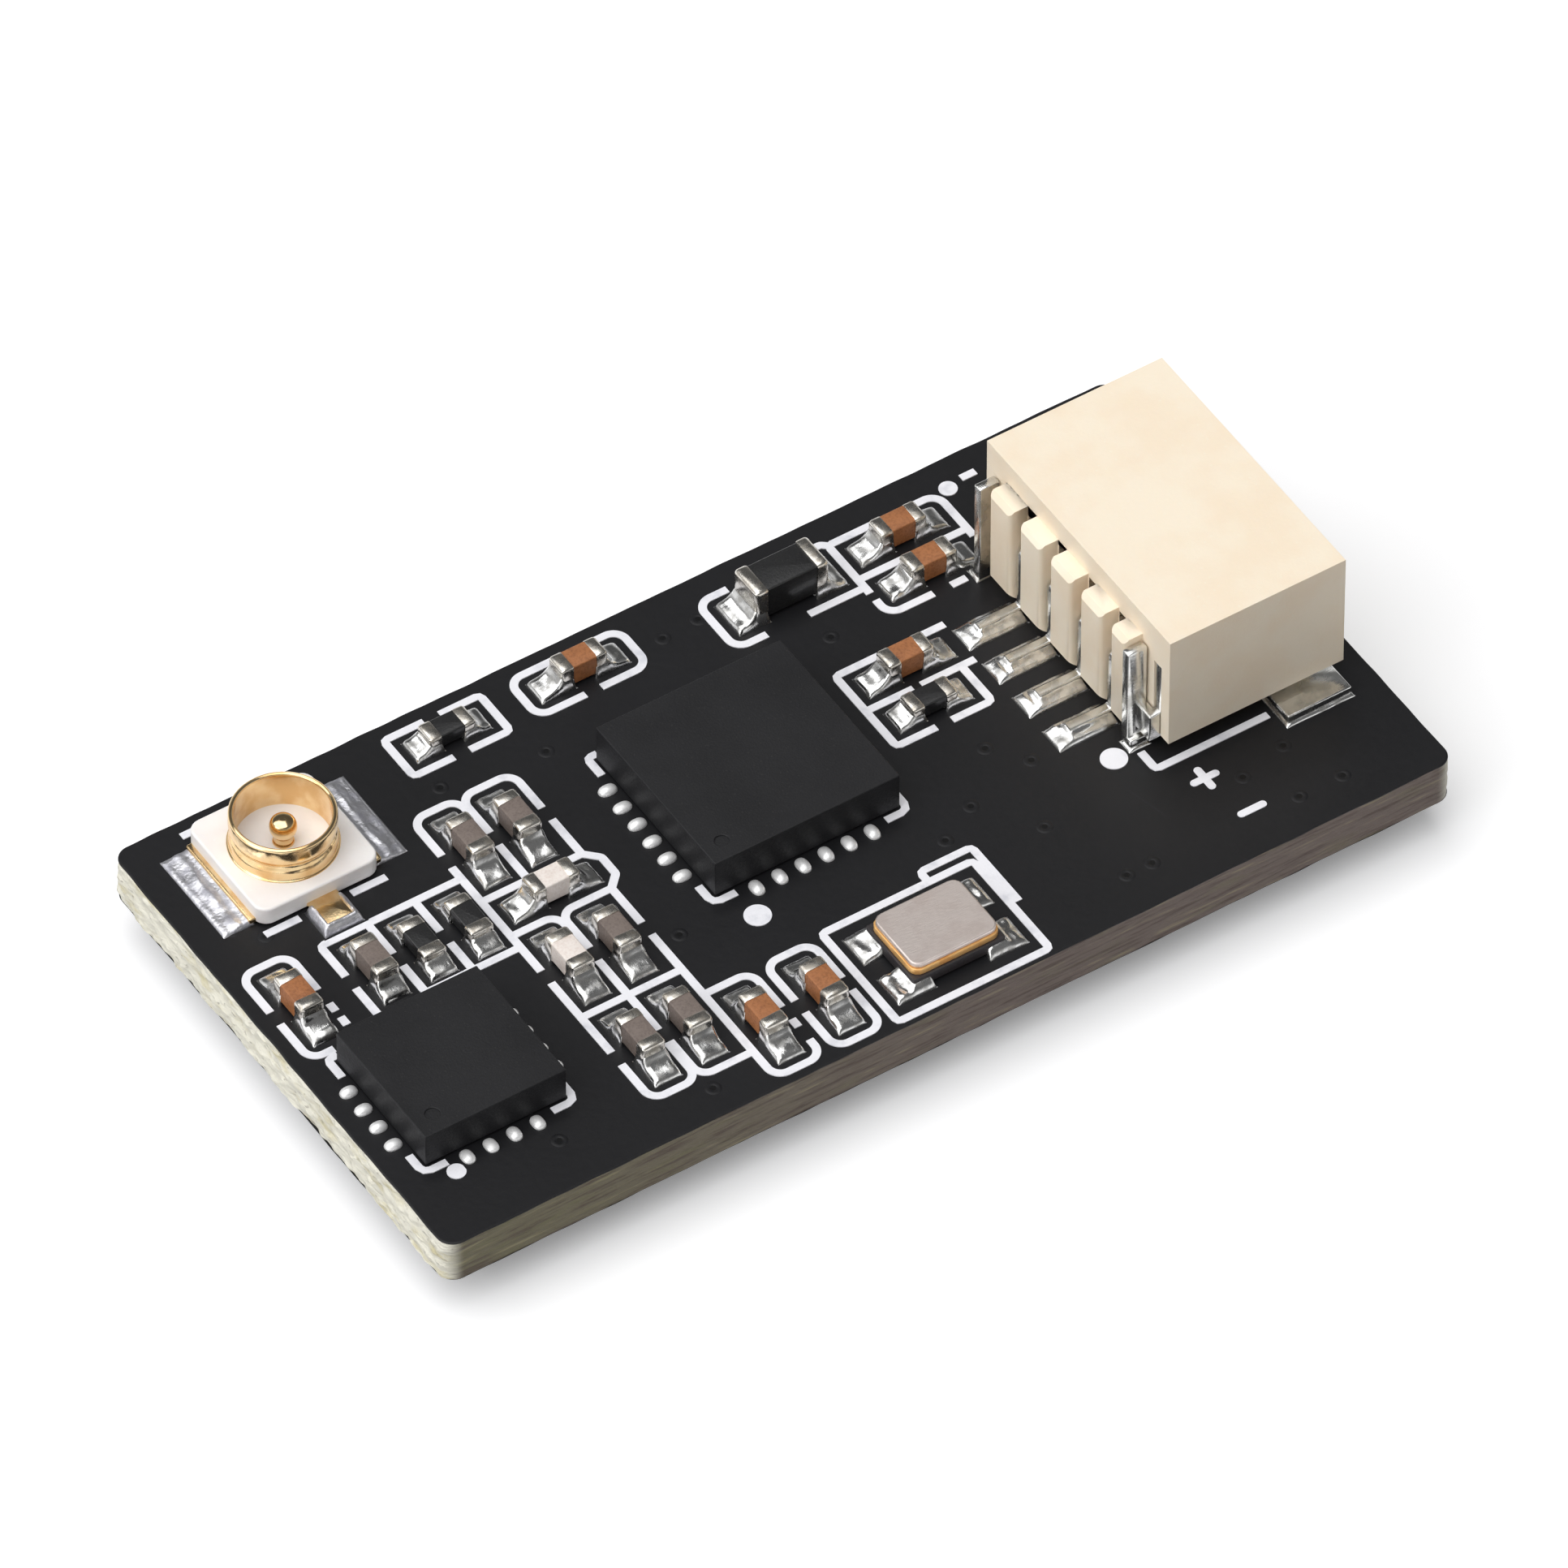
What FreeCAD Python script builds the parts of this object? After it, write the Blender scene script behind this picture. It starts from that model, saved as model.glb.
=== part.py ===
"""Miniature radio receiver: a bare circuit board with its antenna socket, wire header and chips.

Frame: millimetres, +X towards the wire header, +Y away from the long edge beside the crystal, +Z up
from the underside. The origin lies under the middle of the board, on the lower face of the
controller chip, which is what the receiver rests on.

Places on the board are worked out from the left and near edges by chains of sizes and clearances, so
the board is as large as what it carries.
"""
import FreeCAD, Part
import math, os

import Sketcher
from FreeCAD import Placement, Rotation, Vector

# Driving dimensions: alias, value in millimetres, what it is
SIZES = (
    ("board_thickness", 1.0, "laminate with its solder mask"),
    ("board_corner", 0.35, "radius of the board's corners"),
    ("land_thickness", 0.04, "copper land with its solder"),
    ("land_overlap", 0.3, "land under the end of a chip"),
    ("fillet_reach", 0.475, "solder fillet beyond the end of a chip"),
    ("fillet_short", 0.32, "the same at a resistor or in the filter row"),
    ("fillet_rise", 0.3, "solder fillet up the end of a chip"),
    ("land_side", 0.05, "land beyond each side of a chip"),
    ("ink_thickness", 0.02, "printed outline"),
    ("ink_width", 0.16, "width of a printed line"),
    ("ink_clearance", 0.05, "printed line to a land"),
    ("ink_reach", 0.22, "printed line's middle beyond the end of a land"),
    ("ink_break", 0.34, "gap in an outline beside the middle of a chip"),
    ("ink_bend", 0.28, "rounded corner of an outline, at the line's middle"),
    ("ink_doubling", 0.03, "each of two outlines that share a line, from its middle"),
    ("ink_dash", 0.22, "short printed dash"),
    ("ink_strip", 0.75, "printed strip beside the antenna socket"),
    ("ink_step", 0.13, "between the crystal's outline and the mark outside its corner"),
    ("ink_bulge", 0.26, "outline of the cross inductor beyond its columns' outline"),
    ("chip_length", 1.0, "small chip, end to end"),
    ("chip_width", 0.5, "small chip, side to side"),
    ("capacitor_height", 0.5, "small capacitor or inductor"),
    ("resistor_height", 0.34, "small resistor"),
    ("end_cap_length", 0.25, "metal end cap along a small chip"),
    ("end_cap_wall", 0.02, "metal of an end cap"),
    ("column_gap", 0.41, "between lands side by side"),
    ("row_gap", 0.4, "between lands end to end"),
    ("socket_gap", 0.275, "from the filter row to the antenna socket's tail"),
    ("supply_gap", 0.7, "between the lands of the supply row"),
    ("bay_gap", 0.55, "from the filter columns to the supply row"),
    ("wide_gap", 1.01, "from the edge capacitor to the first column"),
    ("edge_gap", 0.58, "left edge to the nearest land"),
    ("filter_inset", 1.21, "near edge to the first filter land"),
    ("supply_inset", 0.46, "near edge to the supply row's lands"),
    ("top_inset", 0.6, "far edge to the nearest land of the far row"),
    ("top_row_gap", 0.9, "between the lands of the far row"),
    ("bead_gap", 1.995, "from the far row's capacitor to the bead"),
    ("bead_inset", 0.9, "far edge to the bead"),
    ("pair_gap", 0.43, "between the lands of a pair of chips"),
    ("filter_gap", 0.655, "from the amplifier to the filter row's lands"),
    ("far_pair_gap", 0.41, "from the bead's lands to the lands of the pair beside it"),
    ("far_pair_inset", 1.75, "far edge to the middle of the pair beside the bead"),
    ("inductor_shift", 0.17, "cross inductor beyond the middle of its two columns"),
    ("pair_offset", 0.97, "wire header's middle to the middle of the pair beside it"),
    ("socket_inset", 2.6, "left edge to the antenna socket's axis"),
    ("socket_margin", 0.5, "antenna socket's base to the far edge"),
    ("socket_side", 2.6, "antenna socket's base"),
    ("socket_base_height", 0.41, "antenna socket's base"),
    ("socket_corner", 0.25, "corners of the antenna socket's base"),
    ("ring_radius", 1.0, "antenna socket's ring, outside"),
    ("ring_wall", 0.1, "antenna socket's ring"),
    ("ring_rise", 0.8, "antenna socket's ring above its base"),
    ("ring_groove", 0.06, "depth of the snap groove"),
    ("ring_groove_rise", 0.33, "middle of the snap groove above the base"),
    ("ring_groove_width", 0.2, "snap groove at the ring's outside"),
    ("ring_lip", 0.04, "bevel of the ring's rim"),
    ("pin_radius", 0.17, "antenna socket's centre contact"),
    ("pin_tip", 0.05, "bevel of the centre contact's tip"),
    ("pin_collar_radius", 0.27, "collar of the centre contact"),
    ("pin_collar_rise", 0.24, "collar of the centre contact above the base"),
    ("pin_rise", 0.6, "centre contact above the base"),
    ("strip_thickness", 0.12, "sheet of the socket's wings and tail"),
    ("wing_reach", 0.12, "ground wing beyond the base"),
    ("wing_land_reach", 0.55, "ground wing's land beyond it"),
    ("wing_neck", 0.5, "ground wing where it leaves the ring"),
    ("wing_length", 2.2, "ground wing along the base"),
    ("tail_reach", 0.7, "signal tail beyond the base"),
    ("tail_width", 0.65, "signal tail"),
    ("tail_land_reach", 0.1, "signal tail's land beyond it"),
    ("amplifier_inset_left", 0.75, "left edge to the amplifier"),
    ("amplifier_inset_near", 1.875, "near edge to the amplifier"),
    ("amplifier_side", 3.0, "amplifier chip"),
    ("amplifier_height", 0.75, "amplifier chip"),
    ("transceiver_gap", 1.41, "from the filter columns' lands to the transceiver's"),
    ("transceiver_lift", 1.73, "from the crystal's lands to the transceiver's"),
    ("transceiver_side", 4.0, "transceiver chip"),
    ("transceiver_height", 0.85, "transceiver chip"),
    ("pad_pitch", 0.5, "pads of the square chips"),
    ("pad_width", 0.26, "pad of a square chip"),
    ("pad_reach", 0.4, "solder beyond a square chip"),
    ("pad_inward", 0.4, "solder under a square chip"),
    ("pad_rise", 0.2, "solder up the side of a square chip"),
    ("middle_gap", 0.4, "between the pads and the one under the chip's middle"),
    ("dimple_radius", 0.14, "moulded dimple at the first pad"),
    ("dimple_inset", 0.42, "dimple's middle from the chip's sides"),
    ("dimple_depth", 0.03, "moulded dimple at the first pad"),
    ("crystal_length", 2.0, "crystal"),
    ("crystal_width", 1.6, "crystal"),
    ("crystal_base_height", 0.24, "ceramic base of the crystal"),
    ("crystal_seal_height", 0.14, "gold seal ring of the crystal"),
    ("crystal_lid_height", 0.12, "metal lid of the crystal"),
    ("crystal_step", 0.05, "lid and seal ring set in from the base"),
    ("crystal_lid_corner", 0.2, "corners of the lid and seal ring"),
    ("crystal_land_length", 0.85, "crystal's land along the board"),
    ("crystal_land_width", 0.75, "crystal's land across the board"),
    ("crystal_land_reach", 0.42, "crystal's land beyond its end"),
    ("crystal_land_side", 0.15, "crystal's land beyond its side"),
    ("crystal_rise", 0.15, "solder up the end of the crystal"),
    ("bead_length", 1.6, "ferrite bead"),
    ("bead_side", 0.8, "ferrite bead's section"),
    ("bead_land_reach", 0.4, "bead's land beyond its end"),
    ("bead_collar_length", 0.26, "metal collar of the bead"),
    ("bead_collar_wall", 0.04, "metal of a bead's collar"),
    ("header_ways", 4, "contacts of the wire header"),
    ("header_pitch", 1.0, "between the header's contacts"),
    ("header_end", 1.52, "outer contact to the end of the housing"),
    ("header_depth", 3.84, "main block of the housing"),
    ("header_height", 3.1, "housing above the board"),
    ("header_stand", 0.1, "housing's lower face above the board"),
    ("header_skirt", 0.42, "lower edge of the housing's end walls above the board"),
    ("header_offset", 0.17, "header's middle beyond the board's middle line"),
    ("header_margin", 0.56, "housing's mouth to the right edge"),
    ("header_gap", 0.245, "from the pair of chips' lands to the header's lands"),
    ("header_wall", 0.6, "wall over and under the header's cavity"),
    ("header_side_wall", 0.65, "wall at each end of the header's cavity"),
    ("header_back_wall", 0.95, "wall behind the header's cavity"),
    ("rib_depth", 0.4, "rib behind the housing"),
    ("rib_width", 0.7, "rib behind the housing"),
    ("rib_step", 0.52, "rib's top below the housing's top"),
    ("rib_chamfer", 0.3, "lower outer edge of a rib"),
    ("rib_round", 0.1, "upper outer edge of a rib"),
    ("contact_thickness", 0.2, "bent strip of a contact, and of a side tab"),
    ("contact_width", 0.22, "contact across the header"),
    ("contact_outer_bend", 0.14, "outer side of a contact's bends"),
    ("contact_inner_bend", 0.06, "inner side of a contact's bends"),
    ("contact_clearance", 0.02, "contact or tab in its slot"),
    ("contact_centre", 1.6, "contact's pin above the board"),
    ("contact_tip_gap", 0.5, "contact's tip behind the housing's mouth"),
    ("contact_setback", 0.08, "upright of a contact behind the main block"),
    ("contact_tail", 1.2, "tail's end behind the main block"),
    ("contact_land_start", 0.24, "contact's land behind the main block"),
    ("contact_land_length", 1.32, "contact's land"),
    ("contact_land_width", 0.62, "contact's land"),
    ("contact_solder_rise", 0.16, "solder up the end of a contact's tail"),
    ("tab_inset", 0.26, "side tab's blade from the end of the housing"),
    ("tab_low", 0.35, "lower edge of a side tab's blade"),
    ("tab_high", 2.2, "upper edge of a side tab's blade"),
    ("tab_foot_length", 1.4, "side tab's foot along the housing"),
    ("tab_foot_reach", 0.5, "side tab's foot beyond the housing"),
    ("tab_front_gap", 0.14, "side tab's front end behind the housing's mouth"),
    ("tab_flag_shift", 0.15, "near tab's upright flag beyond the middle of the outer rib"),
    ("tab_flag_reach", 0.46, "flag's rear edge behind the main block"),
    ("tab_flag_gap", 0.03, "flag's front edge to the main block"),
    ("tab_flag_high", 2.45, "flag's upper edge above the board"),
    ("tab_bridge_high", 1.0, "upper edge of the strip from a blade to its flag"),
    ("tab_heel_reach", 0.32, "rear heel of a side tab, outwards from its flag"),
    ("tab_land_margin", 0.05, "land round a side tab's foot"),
    ("controller_side", 5.0, "controller chip under the board"),
    ("controller_height", 0.85, "controller chip under the board"),
    ("regulator_length", 2.9, "voltage regulator"),
    ("regulator_width", 1.6, "voltage regulator"),
    ("regulator_height", 0.7, "voltage regulator"),
    ("regulator_leg_pitch", 0.95, "legs of the voltage regulator"),
    ("regulator_leg_width", 0.4, "leg of the voltage regulator"),
    ("regulator_leg_reach", 0.6, "leg beyond the voltage regulator"),
    ("regulator_leg_sheet", 0.13, "sheet of a leg"),
    ("regulator_knee", 0.24, "outer face of a leg's upright beyond the body"),
    ("lamp_length", 1.6, "status lamp"),
    ("lamp_width", 0.8, "status lamp"),
    ("lamp_base_height", 0.2, "status lamp's carrier"),
    ("lamp_lens_length", 1.12, "status lamp's lens"),
    ("lamp_lens_height", 0.3, "status lamp's lens"),
    ("under_gap", 1.6, "from the controller's lands to its neighbours"),
    ("dot_radius", 0.26, "printed dot at a chip's first pad"),
    ("small_dot_radius", 0.18, "small printed dot"),
    ("corner_mark", 0.5, "printed corner mark of a square chip"),
    ("corner_mark_gap", 0.12, "printed corner mark beyond a square chip's side"),
)

# Places in the board's own plane, from its left and near edges, and heights in the row's frame
LAYOUT = (
    ("land_width", "Sizes.chip_width + 2 * Sizes.land_side"),
    ("land_half", "Sizes.chip_length / 2 + Sizes.fillet_reach"),
    ("column_pitch", "Layout.land_width + Sizes.column_gap"),
    ("pair_pitch", "Layout.land_width + Sizes.pair_gap"),
    ("bead_half", "Sizes.bead_length / 2 + Sizes.bead_land_reach"),
    ("short_half", "Sizes.chip_length / 2 + Sizes.fillet_short"),
    ("amplifier_x", "Sizes.amplifier_inset_left + Sizes.amplifier_side / 2"),
    ("amplifier_y", "Sizes.amplifier_inset_near + Sizes.amplifier_side / 2"),
    ("edge_capacitor_x", "Sizes.edge_gap + Layout.land_width / 2"),
    ("column_1", "Layout.edge_capacitor_x + Layout.land_width + Sizes.wide_gap"),
    ("column_2", "Layout.column_1 + Layout.column_pitch"),
    ("column_3", "Layout.column_2 + Layout.column_pitch"),
    ("column_4", "Layout.column_3 + Layout.column_pitch"),
    ("column_5", "Layout.column_4 + Layout.column_pitch"),
    ("row_1", "Sizes.filter_inset + Layout.land_half"),
    ("row_2", "Layout.row_1 + 2 * Layout.land_half + Sizes.row_gap"),
    ("row_3", "Layout.row_2 + Layout.land_half + Sizes.row_gap + Layout.land_width / 2"),
    ("row_4", "Layout.row_3 + Layout.land_width / 2 + Sizes.row_gap + Layout.land_half"),
    ("filter_y", "Layout.amplifier_y + Sizes.amplifier_side / 2 + Sizes.filter_gap + Layout.short_half"),
    ("socket_x", "Sizes.socket_inset"),
    ("socket_y", "Layout.filter_y + Layout.land_half + Sizes.socket_gap + Sizes.tail_reach"
                 " + Sizes.socket_side / 2"),
    ("board_width", "Layout.socket_y + Sizes.socket_side / 2 + Sizes.socket_margin"),
    ("supply_x1", "Layout.column_5 + Layout.land_width + Sizes.bay_gap"),
    ("supply_x2", "Layout.supply_x1 + Layout.land_width + Sizes.supply_gap"),
    ("supply_y", "Sizes.supply_inset + Layout.land_half"),
    ("crystal_x", "Layout.supply_x2 + Layout.land_width / 2 + Sizes.supply_gap"
                  " + Sizes.crystal_length / 2 + Sizes.crystal_land_reach"),
    ("crystal_y", "Layout.supply_y"),
    ("transceiver_x", "Layout.column_5 + Layout.land_width / 2 + Sizes.transceiver_gap"
                      " + Sizes.pad_reach + Sizes.transceiver_side / 2"),
    ("transceiver_y", "Layout.crystal_y + Sizes.crystal_width / 2 + Sizes.crystal_land_side"
                      " + Sizes.transceiver_lift + Sizes.pad_reach + Sizes.transceiver_side / 2"),
    ("top_y", "Layout.board_width - Sizes.top_inset - Layout.land_width / 2"),
    ("top_x1", "Layout.column_5 + Layout.land_width / 4"),
    ("top_x2", "Layout.top_x1 + 2 * Layout.land_half + Sizes.top_row_gap"),
    ("bead_x", "Layout.top_x2 + Layout.land_half + Sizes.bead_gap + Layout.bead_half"),
    ("bead_y", "Layout.board_width - Sizes.bead_inset - Sizes.bead_side / 2"),
    ("far_pair_x", "Layout.bead_x + Layout.bead_half + Sizes.far_pair_gap + Layout.land_half"),
    ("far_pair_y", "Layout.board_width - Sizes.far_pair_inset"),
    ("inductor_x", "(Layout.column_4 + Layout.column_5) / 2 + Sizes.inductor_shift"),
    ("side_x", "Layout.transceiver_x + Sizes.transceiver_side / 2 + Sizes.pad_reach"
               " + Layout.land_width + Layout.land_half"),
    ("side_short_x", "Layout.side_x - Layout.land_half + Layout.short_half"),
    ("header_y", "Layout.board_width / 2 + Sizes.header_offset"),
    ("side_y", "Layout.header_y + Sizes.pair_offset"),
    ("header_x", "Layout.side_x + Layout.land_half + Sizes.header_gap + Sizes.contact_land_start"
                 " + Sizes.contact_land_length"),
    ("header_width", "(Sizes.header_ways - 1) * Sizes.header_pitch + 2 * Sizes.header_end"),
    ("board_length", "Layout.header_x + Sizes.header_depth + Sizes.header_margin"),
    ("under_y", "Layout.board_width / 2"),
    ("regulator_x", "Layout.board_length / 2 + Sizes.controller_side / 2 + Sizes.pad_reach"
                    " + Sizes.under_gap + Sizes.regulator_width / 2"),
    ("lamp_x", "Layout.regulator_x + Sizes.regulator_width / 2 + Sizes.under_gap"
               " + Sizes.lamp_length / 2"),
    ("under_column", "Layout.board_length / 2 - Sizes.controller_side / 2 - Sizes.pad_reach"
                     " - Sizes.under_gap - Layout.land_half"),
    ("under_z", "Sizes.controller_height + Sizes.land_thickness"),
    ("top_z", "Layout.under_z + Sizes.board_thickness"),
)


def make_sheet(doc):
    """Write the driving dimensions into the spreadsheet, one alias to a row."""
    sheet = doc.addObject("Spreadsheet::Sheet", "Sizes")
    for row, (alias, size, note) in enumerate(SIZES, start=1):
        sheet.set(f"A{row}", alias)
        sheet.set(f"B{row}", str(size))
        sheet.set(f"C{row}", note)
        sheet.setAlias(f"B{row}", alias)
    doc.recompute()
    return sheet


def make_layout(doc):
    """Bind each place on the board to the sizes and places that it is worked out from."""
    layout = doc.addObject("App::VarSet", "Layout")
    for name, rule in LAYOUT:
        layout.addProperty("App::PropertyFloat", name, "Places")
        layout.setExpression(name, rule.replace("Layout.", ""))
        doc.recompute()
    return layout


doc = FreeCAD.newDocument("receiver")
sheet = make_sheet(doc)
layout = make_layout(doc)


def value(rule):
    """The number that a rule of sizes and places gives."""
    return float(sheet.evalExpression(rule))


def put(piece, x="0", y="0", z="0"):
    """Bind a piece's place: x and y from the board's left and near edges, z from the ground."""
    piece.setExpression("Placement.Base.x", f"{x} - Layout.board_length / 2")
    piece.setExpression("Placement.Base.y", f"{y} - Layout.board_width / 2")
    piece.setExpression("Placement.Base.z", z)
    return piece


# Solid bodies and their sketches
def make_body(label):
    """A named body."""
    body = doc.addObject("PartDesign::Body", label)
    body.Label = label
    return body


def origin_part(body, role):
    """A plane or an axis of a body's own origin."""
    return next(part for part in body.Origin.OriginFeatures if part.Role == role)


def draw(body, role, lift, *loops):
    """Draw closed loops on an origin plane, lifted along its normal, with every corner bound."""
    sketch = body.newObject("Sketcher::SketchObject", "Sketch")
    sketch.AttachmentSupport = [(origin_part(body, role), "")]
    sketch.MapMode = "FlatFace"
    sketch.setExpression("AttachmentOffset.Base.z", lift)
    for corners in loops:
        spots = [Vector(value(x), value(y), 0) for x, y in corners]
        first = sketch.GeometryCount
        count = len(spots)
        for index, spot in enumerate(spots):
            sketch.addGeometry(Part.LineSegment(spot, spots[(index + 1) % count]), False)
        for index, spot in enumerate(spots):
            before = first + (index - 1) % count
            sketch.addConstraint(Sketcher.Constraint("Coincident", before, 2, first + index, 1))
            for kind, size, rule in (("DistanceX", spot.x, corners[index][0]),
                                     ("DistanceY", spot.y, corners[index][1])):
                tie = sketch.addConstraint(Sketcher.Constraint(kind, -1, 1, first + index, 1, size))
                sketch.setExpression(f"Constraints[{tie}]", rule)
    doc.recompute()
    return sketch


def box_loop(x_low, y_low, x_high, y_high):
    """The four corners of a rectangle."""
    return ((x_low, y_low), (x_high, y_low), (x_high, y_high), (x_low, y_high))


def centred_loop(length, width):
    """A rectangle about the origin."""
    return box_loop(f"-({length}) / 2", f"-({width}) / 2", f"({length}) / 2", f"({width}) / 2")


def sweep(body, kind, sketch, length, symmetric=False, backwards=False):
    """Pad or pocket a sketch by a bound length."""
    feature = body.newObject(f"PartDesign::{kind}", kind)
    feature.Profile = sketch
    feature.SideType = "Symmetric" if symmetric else "One side"
    feature.Reversed = backwards
    feature.setExpression("Length", length)
    doc.recompute()
    return feature


def turn(body, loop):
    """Revolve a half section in the XZ plane about the body's upright axis."""
    sketch = draw(body, "XZ_Plane", "0", loop)
    feature = body.newObject("PartDesign::Revolution", "Revolution")
    feature.Profile = sketch
    feature.ReferenceAxis = (sketch, ["V_Axis"])
    feature.Angle = 360
    doc.recompute()
    return feature


def round_edges(body, radius, chosen, kind="Fillet"):
    """Fillet or chamfer the edges of the body's last feature that a test picks by their midpoints."""
    base = body.Tip
    names = [f"Edge{number}" for number, edge in enumerate(base.Shape.Edges, start=1) if chosen(edge)]
    feature = body.newObject(f"PartDesign::{kind}", kind)
    feature.Base = (base, names)
    feature.setExpression("Radius" if kind == "Fillet" else "Size", radius)
    doc.recompute()
    return feature


def repeat(body, feature, role, length, count):
    """Repeat a feature along one of the body's axes."""
    pattern = body.newObject("PartDesign::LinearPattern", "LinearPattern")
    pattern.Originals = [feature]
    pattern.Direction = (origin_part(body, role), [""])
    pattern.setExpression("Length", length)
    pattern.setExpression("Occurrences", count)
    body.Tip = pattern
    doc.recompute()
    return pattern


def is_upright(edge):
    """True for a straight edge along Z."""
    low, high = edge.Vertexes[0].Point, edge.Vertexes[-1].Point
    return abs(low.x - high.x) < 1e-6 and abs(low.y - high.y) < 1e-6 and abs(low.z - high.z) > 1e-6


def slab(label, length, width, low, height, corner):
    """A flat body with rounded upright corners, centred on its own origin."""
    body = make_body(label)
    sweep(body, "Pad", draw(body, "XY_Plane", low, centred_loop(length, width)), height)
    round_edges(body, corner, is_upright)
    return body


def block(label, length, width, height):
    """A plain box bound to three rules."""
    box = doc.addObject("Part::Box", label)
    box.Label = label
    box.setExpression("Length", length)
    box.setExpression("Width", width)
    box.setExpression("Height", height)
    return box


def group(label, solids):
    """One named sub-part that holds a group of separate solids."""
    feature = doc.addObject("Part::Feature", label)
    feature.Label = label
    feature.Shape = Part.makeCompound(solids)
    return feature


# Circuit board
board = slab("circuit_board", "Layout.board_length", "Layout.board_width", "0",
             "Sizes.board_thickness", "Sizes.board_corner")
put(board, "Layout.board_length / 2", "Layout.board_width / 2", "Layout.under_z")


# Small chips: label, height, place, turned upright on the plan, and reach of the solder
UPPER = "Layout.side_y + Layout.pair_pitch / 2"
LOWER = "Layout.side_y - Layout.pair_pitch / 2"
FAR_UPPER = "Layout.far_pair_y + Layout.pair_pitch / 2"
FAR_LOWER = "Layout.far_pair_y - Layout.pair_pitch / 2"
LONG, SHORT = "Sizes.fillet_reach", "Sizes.fillet_short"
CAPACITOR, RESISTOR = "Sizes.capacitor_height", "Sizes.resistor_height"
CHIPS = (
    ("supply_capacitor_1", CAPACITOR, "Layout.edge_capacitor_x", "Layout.filter_y", True, LONG),
    ("supply_capacitor_2", CAPACITOR, "Layout.supply_x1", "Layout.supply_y", True, LONG),
    ("supply_capacitor_3", CAPACITOR, "Layout.supply_x2", "Layout.supply_y", True, LONG),
    ("supply_capacitor_4", CAPACITOR, "Layout.top_x2", "Layout.top_y", False, LONG),
    ("supply_capacitor_5", CAPACITOR, "Layout.far_pair_x", FAR_UPPER, False, LONG),
    ("supply_capacitor_6", CAPACITOR, "Layout.far_pair_x", FAR_LOWER, False, LONG),
    ("supply_capacitor_7", CAPACITOR, "Layout.side_x", UPPER, False, LONG),
    ("filter_capacitor_1", CAPACITOR, "Layout.column_1", "Layout.filter_y", True, SHORT),
    ("filter_capacitor_2", CAPACITOR, "Layout.column_4", "Layout.row_4", True, LONG),
    ("filter_capacitor_3", CAPACITOR, "Layout.column_5", "Layout.row_4", True, LONG),
    ("filter_capacitor_4", CAPACITOR, "Layout.column_5", "Layout.row_2", True, LONG),
    ("filter_capacitor_5", CAPACITOR, "Layout.column_4", "Layout.row_1", True, LONG),
    ("filter_capacitor_6", CAPACITOR, "Layout.column_5", "Layout.row_1", True, LONG),
    ("resistor_1", RESISTOR, "Layout.top_x1", "Layout.top_y", False, SHORT),
    ("resistor_2", RESISTOR, "Layout.column_2", "Layout.filter_y", True, SHORT),
    ("resistor_3", RESISTOR, "Layout.column_3", "Layout.filter_y", True, SHORT),
    ("resistor_4", RESISTOR, "Layout.side_short_x", LOWER, False, SHORT),
    ("inductor_1", CAPACITOR, "Layout.inductor_x", "Layout.row_3", False, LONG),
    ("inductor_2", CAPACITOR, "Layout.column_4", "Layout.row_2", True, LONG),
)
UNDER_CHIPS = tuple((f"under_capacitor_{number}", CAPACITOR, "Layout.under_column",
                     f"Layout.under_y + {number - 2} * Layout.column_pitch", False, LONG)
                    for number in (1, 2, 3))


def chip_body(label, height, x, y, turned, under):
    """The ceramic of a small chip, inside the walls of its two end caps."""
    inner = "Sizes.{} - 2 * Sizes.end_cap_wall".format
    length, width = (inner("chip_width"), inner("chip_length")) if turned else (inner("chip_length"),
                                                                             inner("chip_width"))
    box = block(label, length, width, f"{height} - 2 * Sizes.end_cap_wall")
    seat = "Layout.top_z + Sizes.land_thickness + Sizes.end_cap_wall"
    if under:
        seat = f"Layout.under_z - Sizes.land_thickness + Sizes.end_cap_wall - {height}"
    return put(box, f"{x} - ({length}) / 2", f"{y} - ({width}) / 2", seat)


for label, height, x, y, turned, reach in CHIPS:
    chip_body(label, height, x, y, turned, False)
for label, height, x, y, turned, reach in UNDER_CHIPS:
    chip_body(label, height, x, y, turned, True)


def spot_of(x, y):
    """A point of the board's plan in the row's own frame."""
    return Vector(value(x) - layout.board_length / 2, value(y) - layout.board_width / 2, 0)


def end_cups(length, width, height, cap, wall):
    """The two metal cups over the ends of a chip that is centred on the origin and stands on z = 0."""
    outer = Part.makeBox(cap, width, height, Vector(-length / 2, -width / 2, 0))
    inner = Part.makeBox(cap, width - 2 * wall, height - 2 * wall,
                         Vector(-length / 2 + wall, -width / 2 + wall, wall))
    cup = outer.cut(inner)
    other = cup.copy()
    other.rotate(Vector(), Vector(0, 0, 1), 180)
    return [cup, other]


def moved(shape, spot, turn_deg=0.0, lift=0.0):
    """A copy of a shape, turned about Z at its own origin, then moved to a spot and lifted."""
    copy = shape.copy()
    step = Placement(Vector(spot.x, spot.y, lift), Rotation(Vector(0, 0, 1), turn_deg))
    copy.Placement = step.multiply(shape.Placement)
    return copy


def under_board(shape):
    """A shape that stands on the board's upper face at z = 0, hung from its lower face instead."""
    copy = shape.mirror(Vector(), Vector(0, 0, 1))
    copy.translate(Vector(0, 0, layout.under_z))
    return copy


# The middle of a solder fillet's curve, as a share of its reach and of its rise
BELLY = 0.4


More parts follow.
